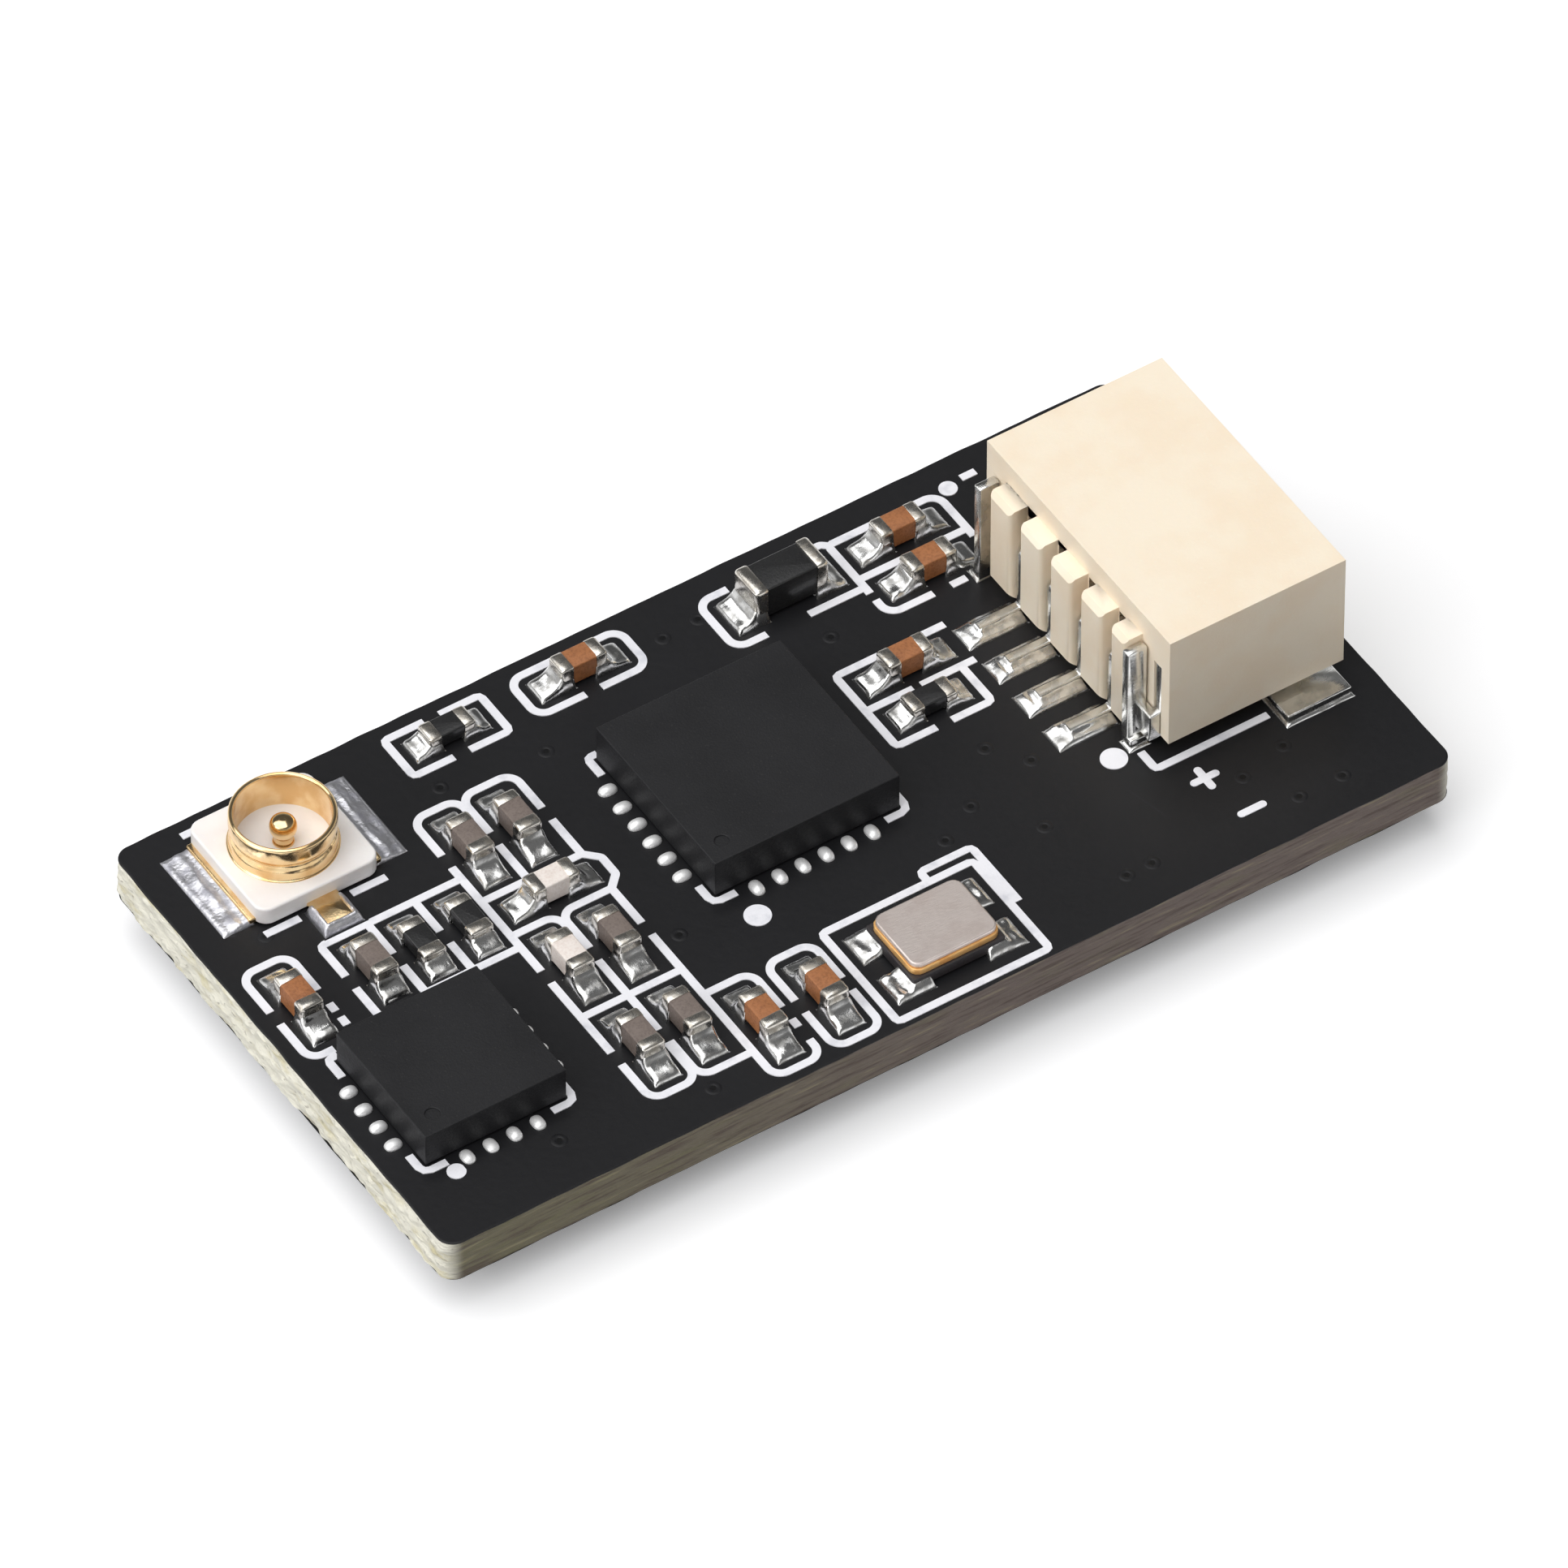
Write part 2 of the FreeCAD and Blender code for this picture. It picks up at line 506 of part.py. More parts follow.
def joint(half, overlap, reach, rise, width, curved=True):
    """One land with its solder: flat under a chip's end at x = half, and a wedge up that end."""
    land = sheet.land_thickness
    corners = [Vector(half - overlap, 0, 0), Vector(half + reach, 0, 0), Vector(half + reach, 0, land)]
    top = Vector(half, 0, land + rise)
    foot = [Vector(half, 0, land), Vector(half - overlap, 0, land), corners[0]]
    edges = [Part.LineSegment(a, b).toShape() for a, b in zip(corners, corners[1:])]
    if curved:
        belly = Vector(half + reach * BELLY, 0, land + rise * BELLY)
        edges.append(Part.Arc(corners[-1], belly, top).toShape())
    else:
        edges.append(Part.LineSegment(corners[-1], top).toShape())
    chain = [top] + foot
    edges += [Part.LineSegment(a, b).toShape() for a, b in zip(chain, chain[1:])]
    face = Part.Face(Part.Wire(edges))
    solid = face.extrude(Vector(0, width, 0))
    solid.translate(Vector(0, -width / 2, 0))
    return solid


def chip_lands(reach):
    """Both joints of a small chip that is centred on the origin."""
    first = joint(sheet.chip_length / 2, sheet.land_overlap, reach, sheet.fillet_rise,
                  layout.land_width)
    second = first.copy()
    second.rotate(Vector(), Vector(0, 0, 1), 180)
    return [first, second]


lands_top = {}
end_caps = []
lands_top["chip_solder"] = []
for label, height, x, y, turned, reach in CHIPS:
    spot, angle = spot_of(x, y), 90.0 if turned else 0.0
    cups = end_cups(sheet.chip_length, sheet.chip_width, value(height), sheet.end_cap_length,
                    sheet.end_cap_wall)
    end_caps += [moved(cup, spot, angle, layout.top_z + sheet.land_thickness) for cup in cups]
    lands_top["chip_solder"] += [moved(land, spot, angle, layout.top_z)
                                 for land in chip_lands(value(reach))]
lands_under = []
for label, height, x, y, turned, reach in UNDER_CHIPS:
    spot = spot_of(x, y)
    cups = end_cups(sheet.chip_length, sheet.chip_width, value(height), sheet.end_cap_length,
                    sheet.end_cap_wall)
    end_caps += [under_board(moved(cup, spot, 0.0, sheet.land_thickness)) for cup in cups]
    lands_under += [under_board(moved(land, spot)) for land in chip_lands(value(reach))]
group("chip_end_caps", end_caps)


# Square chips
def square_chip(label, side, height, x, y, seat, dimple_low):
    """A moulded square chip with the dimple that marks its first pad."""
    body = make_body(label)
    sweep(body, "Pad", draw(body, "XY_Plane", "0", centred_loop(side, side)), height)
    inset = f"{side} / 2 - Sizes.dimple_inset"
    sketch = body.newObject("Sketcher::SketchObject", "Sketch")
    sketch.AttachmentSupport = [(origin_part(body, "XY_Plane"), "")]
    sketch.MapMode = "FlatFace"
    sketch.setExpression("AttachmentOffset.Base.z", "0" if dimple_low else height)
    centre = Vector(-value(inset), -value(inset), 0)
    sketch.addGeometry(Part.Circle(centre, Vector(0, 0, 1), sheet.dimple_radius), False)
    for kind, corner in (("DistanceX", centre.x), ("DistanceY", centre.y)):
        tie = sketch.addConstraint(Sketcher.Constraint(kind, -1, 1, 0, 3, corner))
        sketch.setExpression(f"Constraints[{tie}]", f"-({inset})")
    tie = sketch.addConstraint(Sketcher.Constraint("Radius", 0, sheet.dimple_radius))
    sketch.setExpression(f"Constraints[{tie}]", "Sizes.dimple_radius")
    doc.recompute()
    sweep(body, "Pocket", sketch, "Sizes.dimple_depth", backwards=dimple_low)
    return put(body, x, y, seat)


def pad_ring(side, count):
    """The solder joints round a square chip, with the one under its middle."""
    one = joint(side / 2, sheet.pad_inward, sheet.pad_reach, sheet.pad_rise, sheet.pad_width,
                curved=False)
    joints = []
    for quarter in range(4):
        for index in range(count):
            copy = one.copy()
            copy.translate(Vector(0, (index - (count - 1) / 2) * sheet.pad_pitch, 0))
            copy.rotate(Vector(), Vector(0, 0, 1), 90 * quarter)
            joints.append(copy)
    middle = side - 2 * (sheet.pad_inward + sheet.middle_gap)
    corner = Vector(-middle / 2, -middle / 2, 0)
    joints.append(Part.makeBox(middle, middle, sheet.land_thickness, corner))
    return joints


CHIP_SEAT = "Layout.top_z + Sizes.land_thickness"
square_chip("transceiver_chip", "Sizes.transceiver_side", "Sizes.transceiver_height",
            "Layout.transceiver_x", "Layout.transceiver_y", CHIP_SEAT, False)
square_chip("amplifier_chip", "Sizes.amplifier_side", "Sizes.amplifier_height",
            "Layout.amplifier_x", "Layout.amplifier_y", CHIP_SEAT, False)
square_chip("controller_chip", "Sizes.controller_side", "Sizes.controller_height",
            "Layout.board_length / 2", "Layout.board_width / 2", "0", True)
TRANSCEIVER_PADS, AMPLIFIER_PADS, CONTROLLER_PADS = 6, 4, 8
transceiver_spot = spot_of("Layout.transceiver_x", "Layout.transceiver_y")
amplifier_spot = spot_of("Layout.amplifier_x", "Layout.amplifier_y")
lands_top["transceiver_solder"] = [moved(pad, transceiver_spot, 0.0, layout.top_z)
                                   for pad in pad_ring(sheet.transceiver_side, TRANSCEIVER_PADS)]
lands_top["amplifier_solder"] = [moved(pad, amplifier_spot, 0.0, layout.top_z)
                                 for pad in pad_ring(sheet.amplifier_side, AMPLIFIER_PADS)]
lands_under += [under_board(pad) for pad in pad_ring(sheet.controller_side, CONTROLLER_PADS)]


# Crystal: ceramic base, seal ring and lid, one on the other
crystal_lid_length = "Sizes.crystal_length - 2 * Sizes.crystal_step"
crystal_lid_width = "Sizes.crystal_width - 2 * Sizes.crystal_step"
seal_low = "Sizes.crystal_base_height"
lid_low = "Sizes.crystal_base_height + Sizes.crystal_seal_height"
for piece in (
        slab("crystal_base", "Sizes.crystal_length", "Sizes.crystal_width", "0",
             "Sizes.crystal_base_height", "Sizes.crystal_step"),
        slab("crystal_seal", crystal_lid_length, crystal_lid_width, seal_low,
             "Sizes.crystal_seal_height", "Sizes.crystal_lid_corner"),
        slab("crystal_lid", f"{crystal_lid_length} - Sizes.crystal_step",
             f"{crystal_lid_width} - Sizes.crystal_step", lid_low, "Sizes.crystal_lid_height",
             "Sizes.crystal_lid_corner")):
    put(piece, "Layout.crystal_x", "Layout.crystal_y", CHIP_SEAT)

crystal_spot = spot_of("Layout.crystal_x", "Layout.crystal_y")
lands_top["crystal_solder"] = []
for angle in (0.0, 180.0):
    for side in (-1, 1):
        land = joint(sheet.crystal_length / 2, sheet.crystal_land_length - sheet.crystal_land_reach,
                     sheet.crystal_land_reach, sheet.crystal_rise, sheet.crystal_land_width)
        across = sheet.crystal_width / 2 + sheet.crystal_land_side - sheet.crystal_land_width / 2
        land.translate(Vector(0, side * across, 0))
        lands_top["crystal_solder"].append(moved(land, crystal_spot, angle, layout.top_z))


# Ferrite bead
bead_inner = "Sizes.bead_side - 2 * Sizes.bead_collar_wall"
bead_length = "Sizes.bead_length - 2 * Sizes.bead_collar_wall"
bead = block("bead_core", bead_length, bead_inner, bead_inner)
put(bead, f"Layout.bead_x - ({bead_length}) / 2", f"Layout.bead_y - ({bead_inner}) / 2",
    f"{CHIP_SEAT} + Sizes.bead_collar_wall")
bead_spot = spot_of("Layout.bead_x", "Layout.bead_y")
group("bead_collars", [moved(cup, bead_spot, 0.0, layout.top_z + sheet.land_thickness) for cup in
                       end_cups(sheet.bead_length, sheet.bead_side, sheet.bead_side,
                                sheet.bead_collar_length, sheet.bead_collar_wall)])
bead_land = joint(sheet.bead_length / 2, sheet.land_overlap, sheet.bead_land_reach, sheet.fillet_rise,
                  sheet.bead_side + 2 * sheet.land_side)
lands_top["bead_solder"] = [moved(bead_land, bead_spot, angle, layout.top_z) for angle in (0.0, 180.0)]


# Antenna socket: ring, centre contact, and the base moulded round them
socket_top = "(Sizes.land_thickness + Sizes.socket_base_height)"
ring_inner = "(Sizes.ring_radius - Sizes.ring_wall)"
ring_waist = "(Sizes.ring_radius - Sizes.ring_groove)"


def ring_level(rise):
    """A height up the ring, from its rise above the base."""
    return f"{socket_top} + {rise}"


groove_low = "Sizes.ring_groove_rise - Sizes.ring_groove_width / 2"
groove_high = "Sizes.ring_groove_rise + Sizes.ring_groove_width / 2"
socket_ring = make_body("socket_ring")
turn(socket_ring, (
    (ring_inner, "Sizes.land_thickness"), ("Sizes.ring_radius", "Sizes.land_thickness"),
    ("Sizes.ring_radius", ring_level(groove_low)), (ring_waist, ring_level("Sizes.ring_groove_rise")),
    ("Sizes.ring_radius", ring_level(groove_high)),
    ("Sizes.ring_radius", ring_level("Sizes.ring_rise - Sizes.ring_lip")),
    ("Sizes.ring_radius - Sizes.ring_lip", ring_level("Sizes.ring_rise")),
    (f"{ring_inner} + Sizes.ring_lip", ring_level("Sizes.ring_rise")),
    (ring_inner, ring_level("Sizes.ring_rise - Sizes.ring_lip"))))
neck = "Sizes.wing_neck / 2"
edge = "(Sizes.ring_radius + Sizes.ring_wall)"
sweep(socket_ring, "Pocket",
      draw(socket_ring, "XY_Plane", "Sizes.land_thickness", box_loop(f"-{edge}", neck, edge, edge),
           box_loop(f"-{edge}", f"-{edge}", edge, f"-{neck}")),
      "Sizes.socket_base_height", backwards=True)
shoulder = "Sizes.socket_side / 2 - Sizes.socket_corner"
wing = "Sizes.socket_side / 2 + Sizes.wing_reach"
half_wing = "Sizes.wing_length / 2"


def wing_loop(sign):
    """One ground wing: a neck from the ring out to a strip along the base's side."""
    return tuple((f"{sign}({x})", y) for x, y in (
        (f"{ring_inner} + Sizes.ring_wall / 2", f"-{neck}"), (shoulder, f"-{neck}"),
        (shoulder, f"-{half_wing}"), (wing, f"-{half_wing}"), (wing, half_wing), (shoulder, half_wing),
        (shoulder, neck), (f"{ring_inner} + Sizes.ring_wall / 2", neck)))


sweep(socket_ring, "Pad", draw(socket_ring, "XY_Plane", "Sizes.land_thickness", wing_loop(""),
                               wing_loop("-")), "Sizes.strip_thickness")
put(socket_ring, "Layout.socket_x", "Layout.socket_y", "Layout.top_z")

socket_pin = make_body("socket_pin")
pin_top = f"{socket_top} + Sizes.pin_rise"
turn(socket_pin, (
    ("0", "Sizes.land_thickness"), ("Sizes.pin_collar_radius", "Sizes.land_thickness"),
    ("Sizes.pin_collar_radius", f"{socket_top} + Sizes.pin_collar_rise"),
    ("Sizes.pin_radius", f"{socket_top} + Sizes.pin_collar_rise"),
    ("Sizes.pin_radius", f"{pin_top} - Sizes.pin_tip"),
    ("Sizes.pin_radius - Sizes.pin_tip", pin_top), ("0", pin_top)))
tail_end = "-(Sizes.socket_side / 2 + Sizes.tail_reach)"
sweep(socket_pin, "Pad",
      draw(socket_pin, "XY_Plane", "Sizes.land_thickness",
           box_loop("-Sizes.tail_width / 2", tail_end, "Sizes.tail_width / 2", "0")),
      "Sizes.strip_thickness")
put(socket_pin, "Layout.socket_x", "Layout.socket_y", "Layout.top_z")

socket_block = slab("socket_block", "Sizes.socket_side", "Sizes.socket_side", "Sizes.land_thickness",
                    "Sizes.socket_base_height", "Sizes.socket_corner")
put(socket_block, "Layout.socket_x", "Layout.socket_y", "Layout.top_z")
socket_metal = doc.addObject("Part::MultiFuse", "socket_metal")
socket_metal.Shapes = [socket_ring, socket_pin]
socket_base = doc.addObject("Part::Cut", "socket_base")
socket_base.Base = socket_block
socket_base.Tool = socket_metal
socket_base.Label = "socket_base"

socket_spot = spot_of("Layout.socket_x", "Layout.socket_y")
wing_land = joint(sheet.socket_side / 2 + sheet.wing_reach, sheet.wing_reach, sheet.wing_land_reach,
                  sheet.strip_thickness, sheet.wing_length)
tail_land = joint(sheet.socket_side / 2 + sheet.tail_reach, sheet.tail_reach - sheet.land_side,
                  sheet.tail_land_reach, sheet.strip_thickness,
                  sheet.tail_width + 2 * sheet.tail_land_reach)
lands_top["socket_solder"] = [moved(wing_land, socket_spot, 0.0, layout.top_z),
                              moved(wing_land, socket_spot, 180.0, layout.top_z),
                              moved(tail_land, socket_spot, -90.0, layout.top_z)]


# Wire header: housing with its ribs, cavity and slots
header_half = "Layout.header_width / 2"
first_way = "(Sizes.header_ways - 1) * Sizes.header_pitch / 2"
way_run = "(Sizes.header_ways - 1) * Sizes.header_pitch"
rib_run = "Sizes.header_ways * Sizes.header_pitch"
rib_top = "Sizes.header_height - Sizes.rib_step"
slot_half = "(Sizes.contact_width / 2 + Sizes.contact_clearance)"
blade_width = "(Sizes.contact_thickness + 2 * Sizes.contact_clearance)"
blade_outer = f"({header_half} - Sizes.tab_inset)"
blade_front = "Sizes.header_depth - Sizes.tab_front_gap"
foot_rear = f"{blade_front} - Sizes.tab_foot_length"
foot_top = "Sizes.land_thickness + Sizes.contact_thickness"

housing = make_body("header_housing")
sweep(housing, "Pad", draw(housing, "XY_Plane", "Sizes.header_stand",
                           box_loop("0", f"-{header_half}", "Sizes.header_depth", header_half)),
      "Sizes.header_height - Sizes.header_stand")
rib = sweep(housing, "Pad", draw(housing, "XZ_Plane", f"{rib_run} / 2", (
    ("0", "Sizes.header_stand"), ("Sizes.rib_chamfer - Sizes.rib_depth", "Sizes.header_stand"),
    ("-Sizes.rib_depth", "Sizes.header_stand + Sizes.rib_chamfer"),
    ("-Sizes.rib_depth", f"{rib_top} - Sizes.rib_round"), ("Sizes.rib_round - Sizes.rib_depth", rib_top),
    ("0", rib_top))), "Sizes.rib_width", symmetric=True)
repeat(housing, rib, "Y_Axis", rib_run, "Sizes.header_ways + 1")
sweep(housing, "Pocket", draw(housing, "YZ_Plane", "Sizes.header_depth", box_loop(
    f"Sizes.header_side_wall - {header_half}", "Sizes.header_stand + Sizes.header_wall",
    f"{header_half} - Sizes.header_side_wall", "Sizes.header_height - Sizes.header_wall")),
    "Sizes.header_depth - Sizes.header_back_wall")
flag_inner = f"({rib_run} / 2 + Sizes.tab_flag_shift)"
sweep(housing, "Pocket", draw(housing, "XY_Plane", "Sizes.header_stand", box_loop(
    "-Sizes.rib_depth", f"-({rib_run} / 2 + Sizes.rib_width / 2)",
    "0", f"-({flag_inner} - Sizes.contact_clearance)")),
    f"{rib_top} - Sizes.header_stand", backwards=True)
slot = sweep(housing, "Pocket", draw(housing, "YZ_Plane", "Sizes.header_back_wall", box_loop(
    f"-{first_way} - {slot_half}",
    "Sizes.contact_centre - Sizes.contact_thickness / 2 - Sizes.contact_clearance",
    f"-{first_way} + {slot_half}", "Sizes.header_height - Sizes.header_wall")),
    "Sizes.header_back_wall")
repeat(housing, slot, "Y_Axis", way_run, "Sizes.header_ways")


def both_ends(x_low, y_low, x_high, y_high):
    """The same rectangle at the near and at the far end of the header."""
    return (box_loop(x_low, f"-({y_high})", x_high, f"-({y_low})"),
            box_loop(x_low, y_low, x_high, y_high))


sweep(housing, "Pocket", draw(housing, "XY_Plane", "Sizes.header_stand", *both_ends(
    "0", f"{blade_outer} - {blade_width}", f"{blade_front} + Sizes.contact_clearance", blade_outer)),
    "Sizes.tab_high + Sizes.contact_clearance - Sizes.header_stand", backwards=True)
sweep(housing, "Pocket", draw(housing, "XY_Plane", "Sizes.header_stand", *both_ends(
    "0", blade_outer, "Sizes.header_depth", header_half)),
    "Sizes.header_skirt - Sizes.header_stand", backwards=True)
put(housing, "Layout.header_x", "Layout.header_y", "Layout.top_z")

# Wire header: bent contacts, each a strip from its pin through the back wall down to its tail
upright_rear = "-(Sizes.contact_setback + Sizes.contact_thickness)"
pin_low = "Sizes.contact_centre - Sizes.contact_thickness / 2"
pin_high = "Sizes.contact_centre + Sizes.contact_thickness / 2"
pin_tip = "Sizes.header_depth - Sizes.contact_tip_gap"


def bend_test(*bends):
    """A test for the cross edges of a bent strip that lie at the given corners."""
    corners = [(value(x), value(z)) for x, z in bends]

    def chosen(edge):
        middle = (edge.Vertexes[0].Point + edge.Vertexes[-1].Point) * 0.5
        run = edge.Vertexes[0].Point - edge.Vertexes[-1].Point
        near = any(abs(middle.x - x) < 1e-4 and abs(middle.z - z) < 1e-4 for x, z in corners)
        return near and abs(run.y) > 1e-6
    return chosen


for way in range(int(sheet.header_ways)):
    contact = make_body(f"header_contact_{way + 1}")
    sweep(contact, "Pad", draw(contact, "XZ_Plane", "0", (
        (pin_tip, pin_high), (upright_rear, pin_high), (upright_rear, foot_top),
        ("-Sizes.contact_tail", foot_top), ("-Sizes.contact_tail", "Sizes.land_thickness"),
        ("-Sizes.contact_setback", "Sizes.land_thickness"), ("-Sizes.contact_setback", pin_low),
        (pin_tip, pin_low))), "Sizes.contact_width", symmetric=True)
    round_edges(contact, "Sizes.contact_outer_bend", bend_test(
        (upright_rear, pin_high), ("-Sizes.contact_setback", "Sizes.land_thickness")))
    round_edges(contact, "Sizes.contact_inner_bend", bend_test(
        (upright_rear, foot_top), ("-Sizes.contact_setback", pin_low)))
    put(contact, "Layout.header_x", f"Layout.header_y + {way} * Sizes.header_pitch - {first_way}",
        "Layout.top_z")

# Wire header: side tabs, each a blade in the end wall with a foot in front and a flag with a heel behind
blade_inner = f"({blade_outer} - Sizes.contact_clearance - Sizes.contact_thickness)"
flag_rear, flag_front = "-Sizes.tab_flag_reach", "-Sizes.tab_flag_gap"
blade_rear = f"({flag_front} - Sizes.contact_thickness)"


def make_tab(label, flag, side):
    """A side tab: the flag starts at a distance from the header's middle, on the near side at side -1."""
    tab = make_body(label)

    def layer(start, depth, loop):
        """A flat layer of the tab, from a distance outwards."""
        offset = start if side < 0 else f"-({start} + {depth})"
        sweep(tab, "Pad", draw(tab, "XZ_Plane", offset, loop), depth)

    layer(blade_inner, "Sizes.contact_thickness", (
        (blade_rear, "Sizes.tab_low"), (foot_rear, "Sizes.tab_low"), (foot_rear, "Sizes.land_thickness"),
        (blade_front, "Sizes.land_thickness"), (blade_front, "Sizes.tab_high"),
        ("Sizes.contact_clearance", "Sizes.tab_high"), ("Sizes.contact_clearance", "Sizes.tab_bridge_high"),
        (blade_rear, "Sizes.tab_bridge_high")))
    layer(f"({blade_inner} + Sizes.contact_thickness / 2)",
          f"{header_half} + Sizes.tab_foot_reach - {blade_inner} - Sizes.contact_thickness / 2",
          box_loop(foot_rear, "Sizes.land_thickness", blade_front, foot_top))
    layer(flag, f"{blade_inner} + Sizes.contact_thickness - {flag}",
          box_loop(blade_rear, "Sizes.tab_low", flag_front, "Sizes.tab_bridge_high"))
    layer(flag, "Sizes.contact_thickness", (
        (flag_rear, "Sizes.land_thickness"), (flag_front, "Sizes.land_thickness"),
        (flag_front, "Sizes.tab_flag_high"), (flag_rear, "Sizes.tab_flag_high")))
    layer(flag, "Sizes.tab_heel_reach", box_loop(flag_rear, "Sizes.land_thickness", flag_front, foot_top))
    put(tab, "Layout.header_x", "Layout.header_y", "Layout.top_z")


make_tab("header_tab_near", flag_inner, -1)
make_tab("header_tab_far", blade_inner, 1)

header_spot = spot_of("Layout.header_x", "Layout.header_y")
land_start = sheet.contact_land_start
contact_reach = land_start + sheet.contact_land_length - sheet.contact_tail
contact_land = joint(sheet.contact_tail, sheet.contact_tail - land_start, contact_reach,
                     sheet.contact_solder_rise, sheet.contact_land_width)
header_lands = []
for way in range(int(sheet.header_ways)):
    spot = header_spot + Vector(0, way * sheet.header_pitch - value(first_way), 0)
    header_lands.append(moved(contact_land, spot, 180.0, layout.top_z))
margin = sheet.tab_land_margin
for side, flag in ((-1, value(flag_inner)), (1, value(blade_inner))):
    tab_lands = (
        (value(foot_rear) - margin, value(blade_front) + margin,
         value(blade_inner), value(header_half) + sheet.tab_foot_reach + margin),
        (value(flag_rear) - margin, value(flag_front), flag, flag + sheet.tab_heel_reach + margin))
    for x, x_end, y, y_end in tab_lands:
        low = min(side * y, side * y_end)
        pad = Part.makeBox(x_end - x, y_end - y, sheet.land_thickness, Vector(x, low, 0))
        header_lands.append(moved(pad, header_spot, 0.0, layout.top_z))
lands_top["header_solder"] = header_lands


# Underside: voltage regulator and status lamp
regulator = block("regulator_body", "Sizes.regulator_width", "Sizes.regulator_length",
                  "Sizes.regulator_height")
regulator_lift = "(Sizes.land_thickness + Sizes.regulator_leg_sheet / 2)"
put(regulator, "Layout.regulator_x - Sizes.regulator_width / 2",
    "Layout.under_y - Sizes.regulator_length / 2",
    f"Layout.under_z - {regulator_lift} - Sizes.regulator_height")


def gull_leg():
    """One leg of the regulator: out of the body's side, down, and out along its land."""
    half, leg = sheet.regulator_width / 2, sheet.regulator_leg_sheet
    reach, low = sheet.regulator_leg_reach, sheet.land_thickness
    high = value(regulator_lift) + sheet.regulator_height / 2
    knee = half + sheet.regulator_knee
    corners = ((half, high), (knee, high), (knee, low + leg), (half + reach, low + leg),
               (half + reach, low), (knee - leg, low), (knee - leg, high - leg), (half, high - leg))
    points = [Vector(x, 0, z) for x, z in corners]
    face = Part.Face(Part.makePolygon(points + points[:1]))
    solid = face.extrude(Vector(0, sheet.regulator_leg_width, 0))
    solid.translate(Vector(0, -sheet.regulator_leg_width / 2, 0))
    return solid


regulator_spot = spot_of("Layout.regulator_x", "Layout.under_y")
leg_land = joint(sheet.regulator_width / 2 + sheet.regulator_leg_reach,
                 sheet.regulator_leg_reach - sheet.land_side, sheet.tail_land_reach,
                 sheet.regulator_leg_sheet / 2, sheet.regulator_leg_width + 2 * sheet.land_side)
legs = []
for angle, rows in ((0.0, (-1, 0, 1)), (180.0, (-1, 1))):
    for row in rows:
        spot = regulator_spot + Vector(0, row * sheet.regulator_leg_pitch, 0)
        legs.append(under_board(moved(gull_leg(), spot, angle)))
        lands_under.append(under_board(moved(leg_land, spot, angle)))
group("regulator_legs", legs)

lamp_seat = "Layout.under_z - Sizes.land_thickness - Sizes.lamp_base_height"
lamp_corner = ("Layout.lamp_x - Sizes.lamp_length / 2", "Layout.under_y - Sizes.lamp_width / 2")
lamp_base = block("lamp_base", "Sizes.lamp_length", "Sizes.lamp_width", "Sizes.lamp_base_height")
put(lamp_base, *lamp_corner, lamp_seat)
lamp_lens = block("lamp_lens", "Sizes.lamp_lens_length", "Sizes.lamp_width", "Sizes.lamp_lens_height")
put(lamp_lens, "Layout.lamp_x - Sizes.lamp_lens_length / 2", lamp_corner[1],
    f"{lamp_seat} - Sizes.lamp_lens_height")
lamp_land = joint(sheet.lamp_length / 2, sheet.land_overlap, sheet.fillet_short,
                  sheet.lamp_base_height / 2, sheet.lamp_width)
lands_under += [under_board(moved(lamp_land, spot_of("Layout.lamp_x", "Layout.under_y"), angle))
                for angle in (0.0, 180.0)]
group("under_solder", lands_under)
for label, solids in lands_top.items():
    group(label, solids)


# Printed outlines, on the board's own plan, cut back where solder lies bare
UP = Vector(0, 0, 1)
strokes = []


def stroke(*points, bend=None):
    """Print a line through several points of its middle: square ends, and bends of a radius."""
    half = sheet.ink_width / 2
    bend = bend or half
    spots = [Vector(x, y, 0) for x, y in points]
    runs = [(after - before).normalize() for before, after in zip(spots, spots[1:])]
    edges, ends = [], []
    for side in (-1, 1):
        start = spots[0] + runs[0].cross(UP) * side * half
        ends.append(start)
        for corner, run, after in zip(spots[1:], runs, runs[1:]):
            inward = 1 if run.cross(after).z < 0 else -1
            reach = bend * math.tan(run.getAngle(after) / 2)
            pivot = corner - run * reach + run.cross(UP) * inward * bend
            radius = bend - inward * side * half
            arc_start = pivot - run.cross(UP) * inward * radius
            arc_end = pivot - after.cross(UP) * inward * radius
            edges.append(Part.LineSegment(start, arc_start).toShape())
            if radius > 0.1 * half:
                crown = pivot + (corner - pivot).normalize() * radius
                if bend > sheet.ink_width:
                    edges.append(Part.Arc(arc_start, crown, arc_end).toShape())
                else:
                    edges.append(Part.LineSegment(arc_start, crown).toShape())
                    edges.append(Part.LineSegment(crown, arc_end).toShape())
            start = arc_end
        finish = spots[-1] + runs[-1].cross(UP) * side * half
        edges.append(Part.LineSegment(start, finish).toShape())
        ends.append(finish)
    edges += [Part.LineSegment(*pair).toShape() for pair in (ends[::2], ends[1::2])]
    strokes.append(Part.Face(Part.Wire(Part.sortEdges(edges)[0])))


def dot(x, y, radius):
    """Print a dot."""
    strokes.append(Part.Face(Part.Wire(Part.makeCircle(radius, Vector(x, y, 0)))))


def brackets(x, y, along, across, bend=None):
    """Print two facing brackets round a part that lies along the board, open beside its middle."""
    for sign in (-1, 1):
        stroke((x + sign * half_break, y + across), (x + sign * along, y + across),
               (x + sign * along, y - across), (x + sign * half_break, y - across), bend=bend)


half_break = sheet.ink_break / 2
bend, dash = sheet.ink_bend, sheet.ink_dash
aside = layout.column_pitch / 2
beyond = layout.land_half + sheet.ink_reach

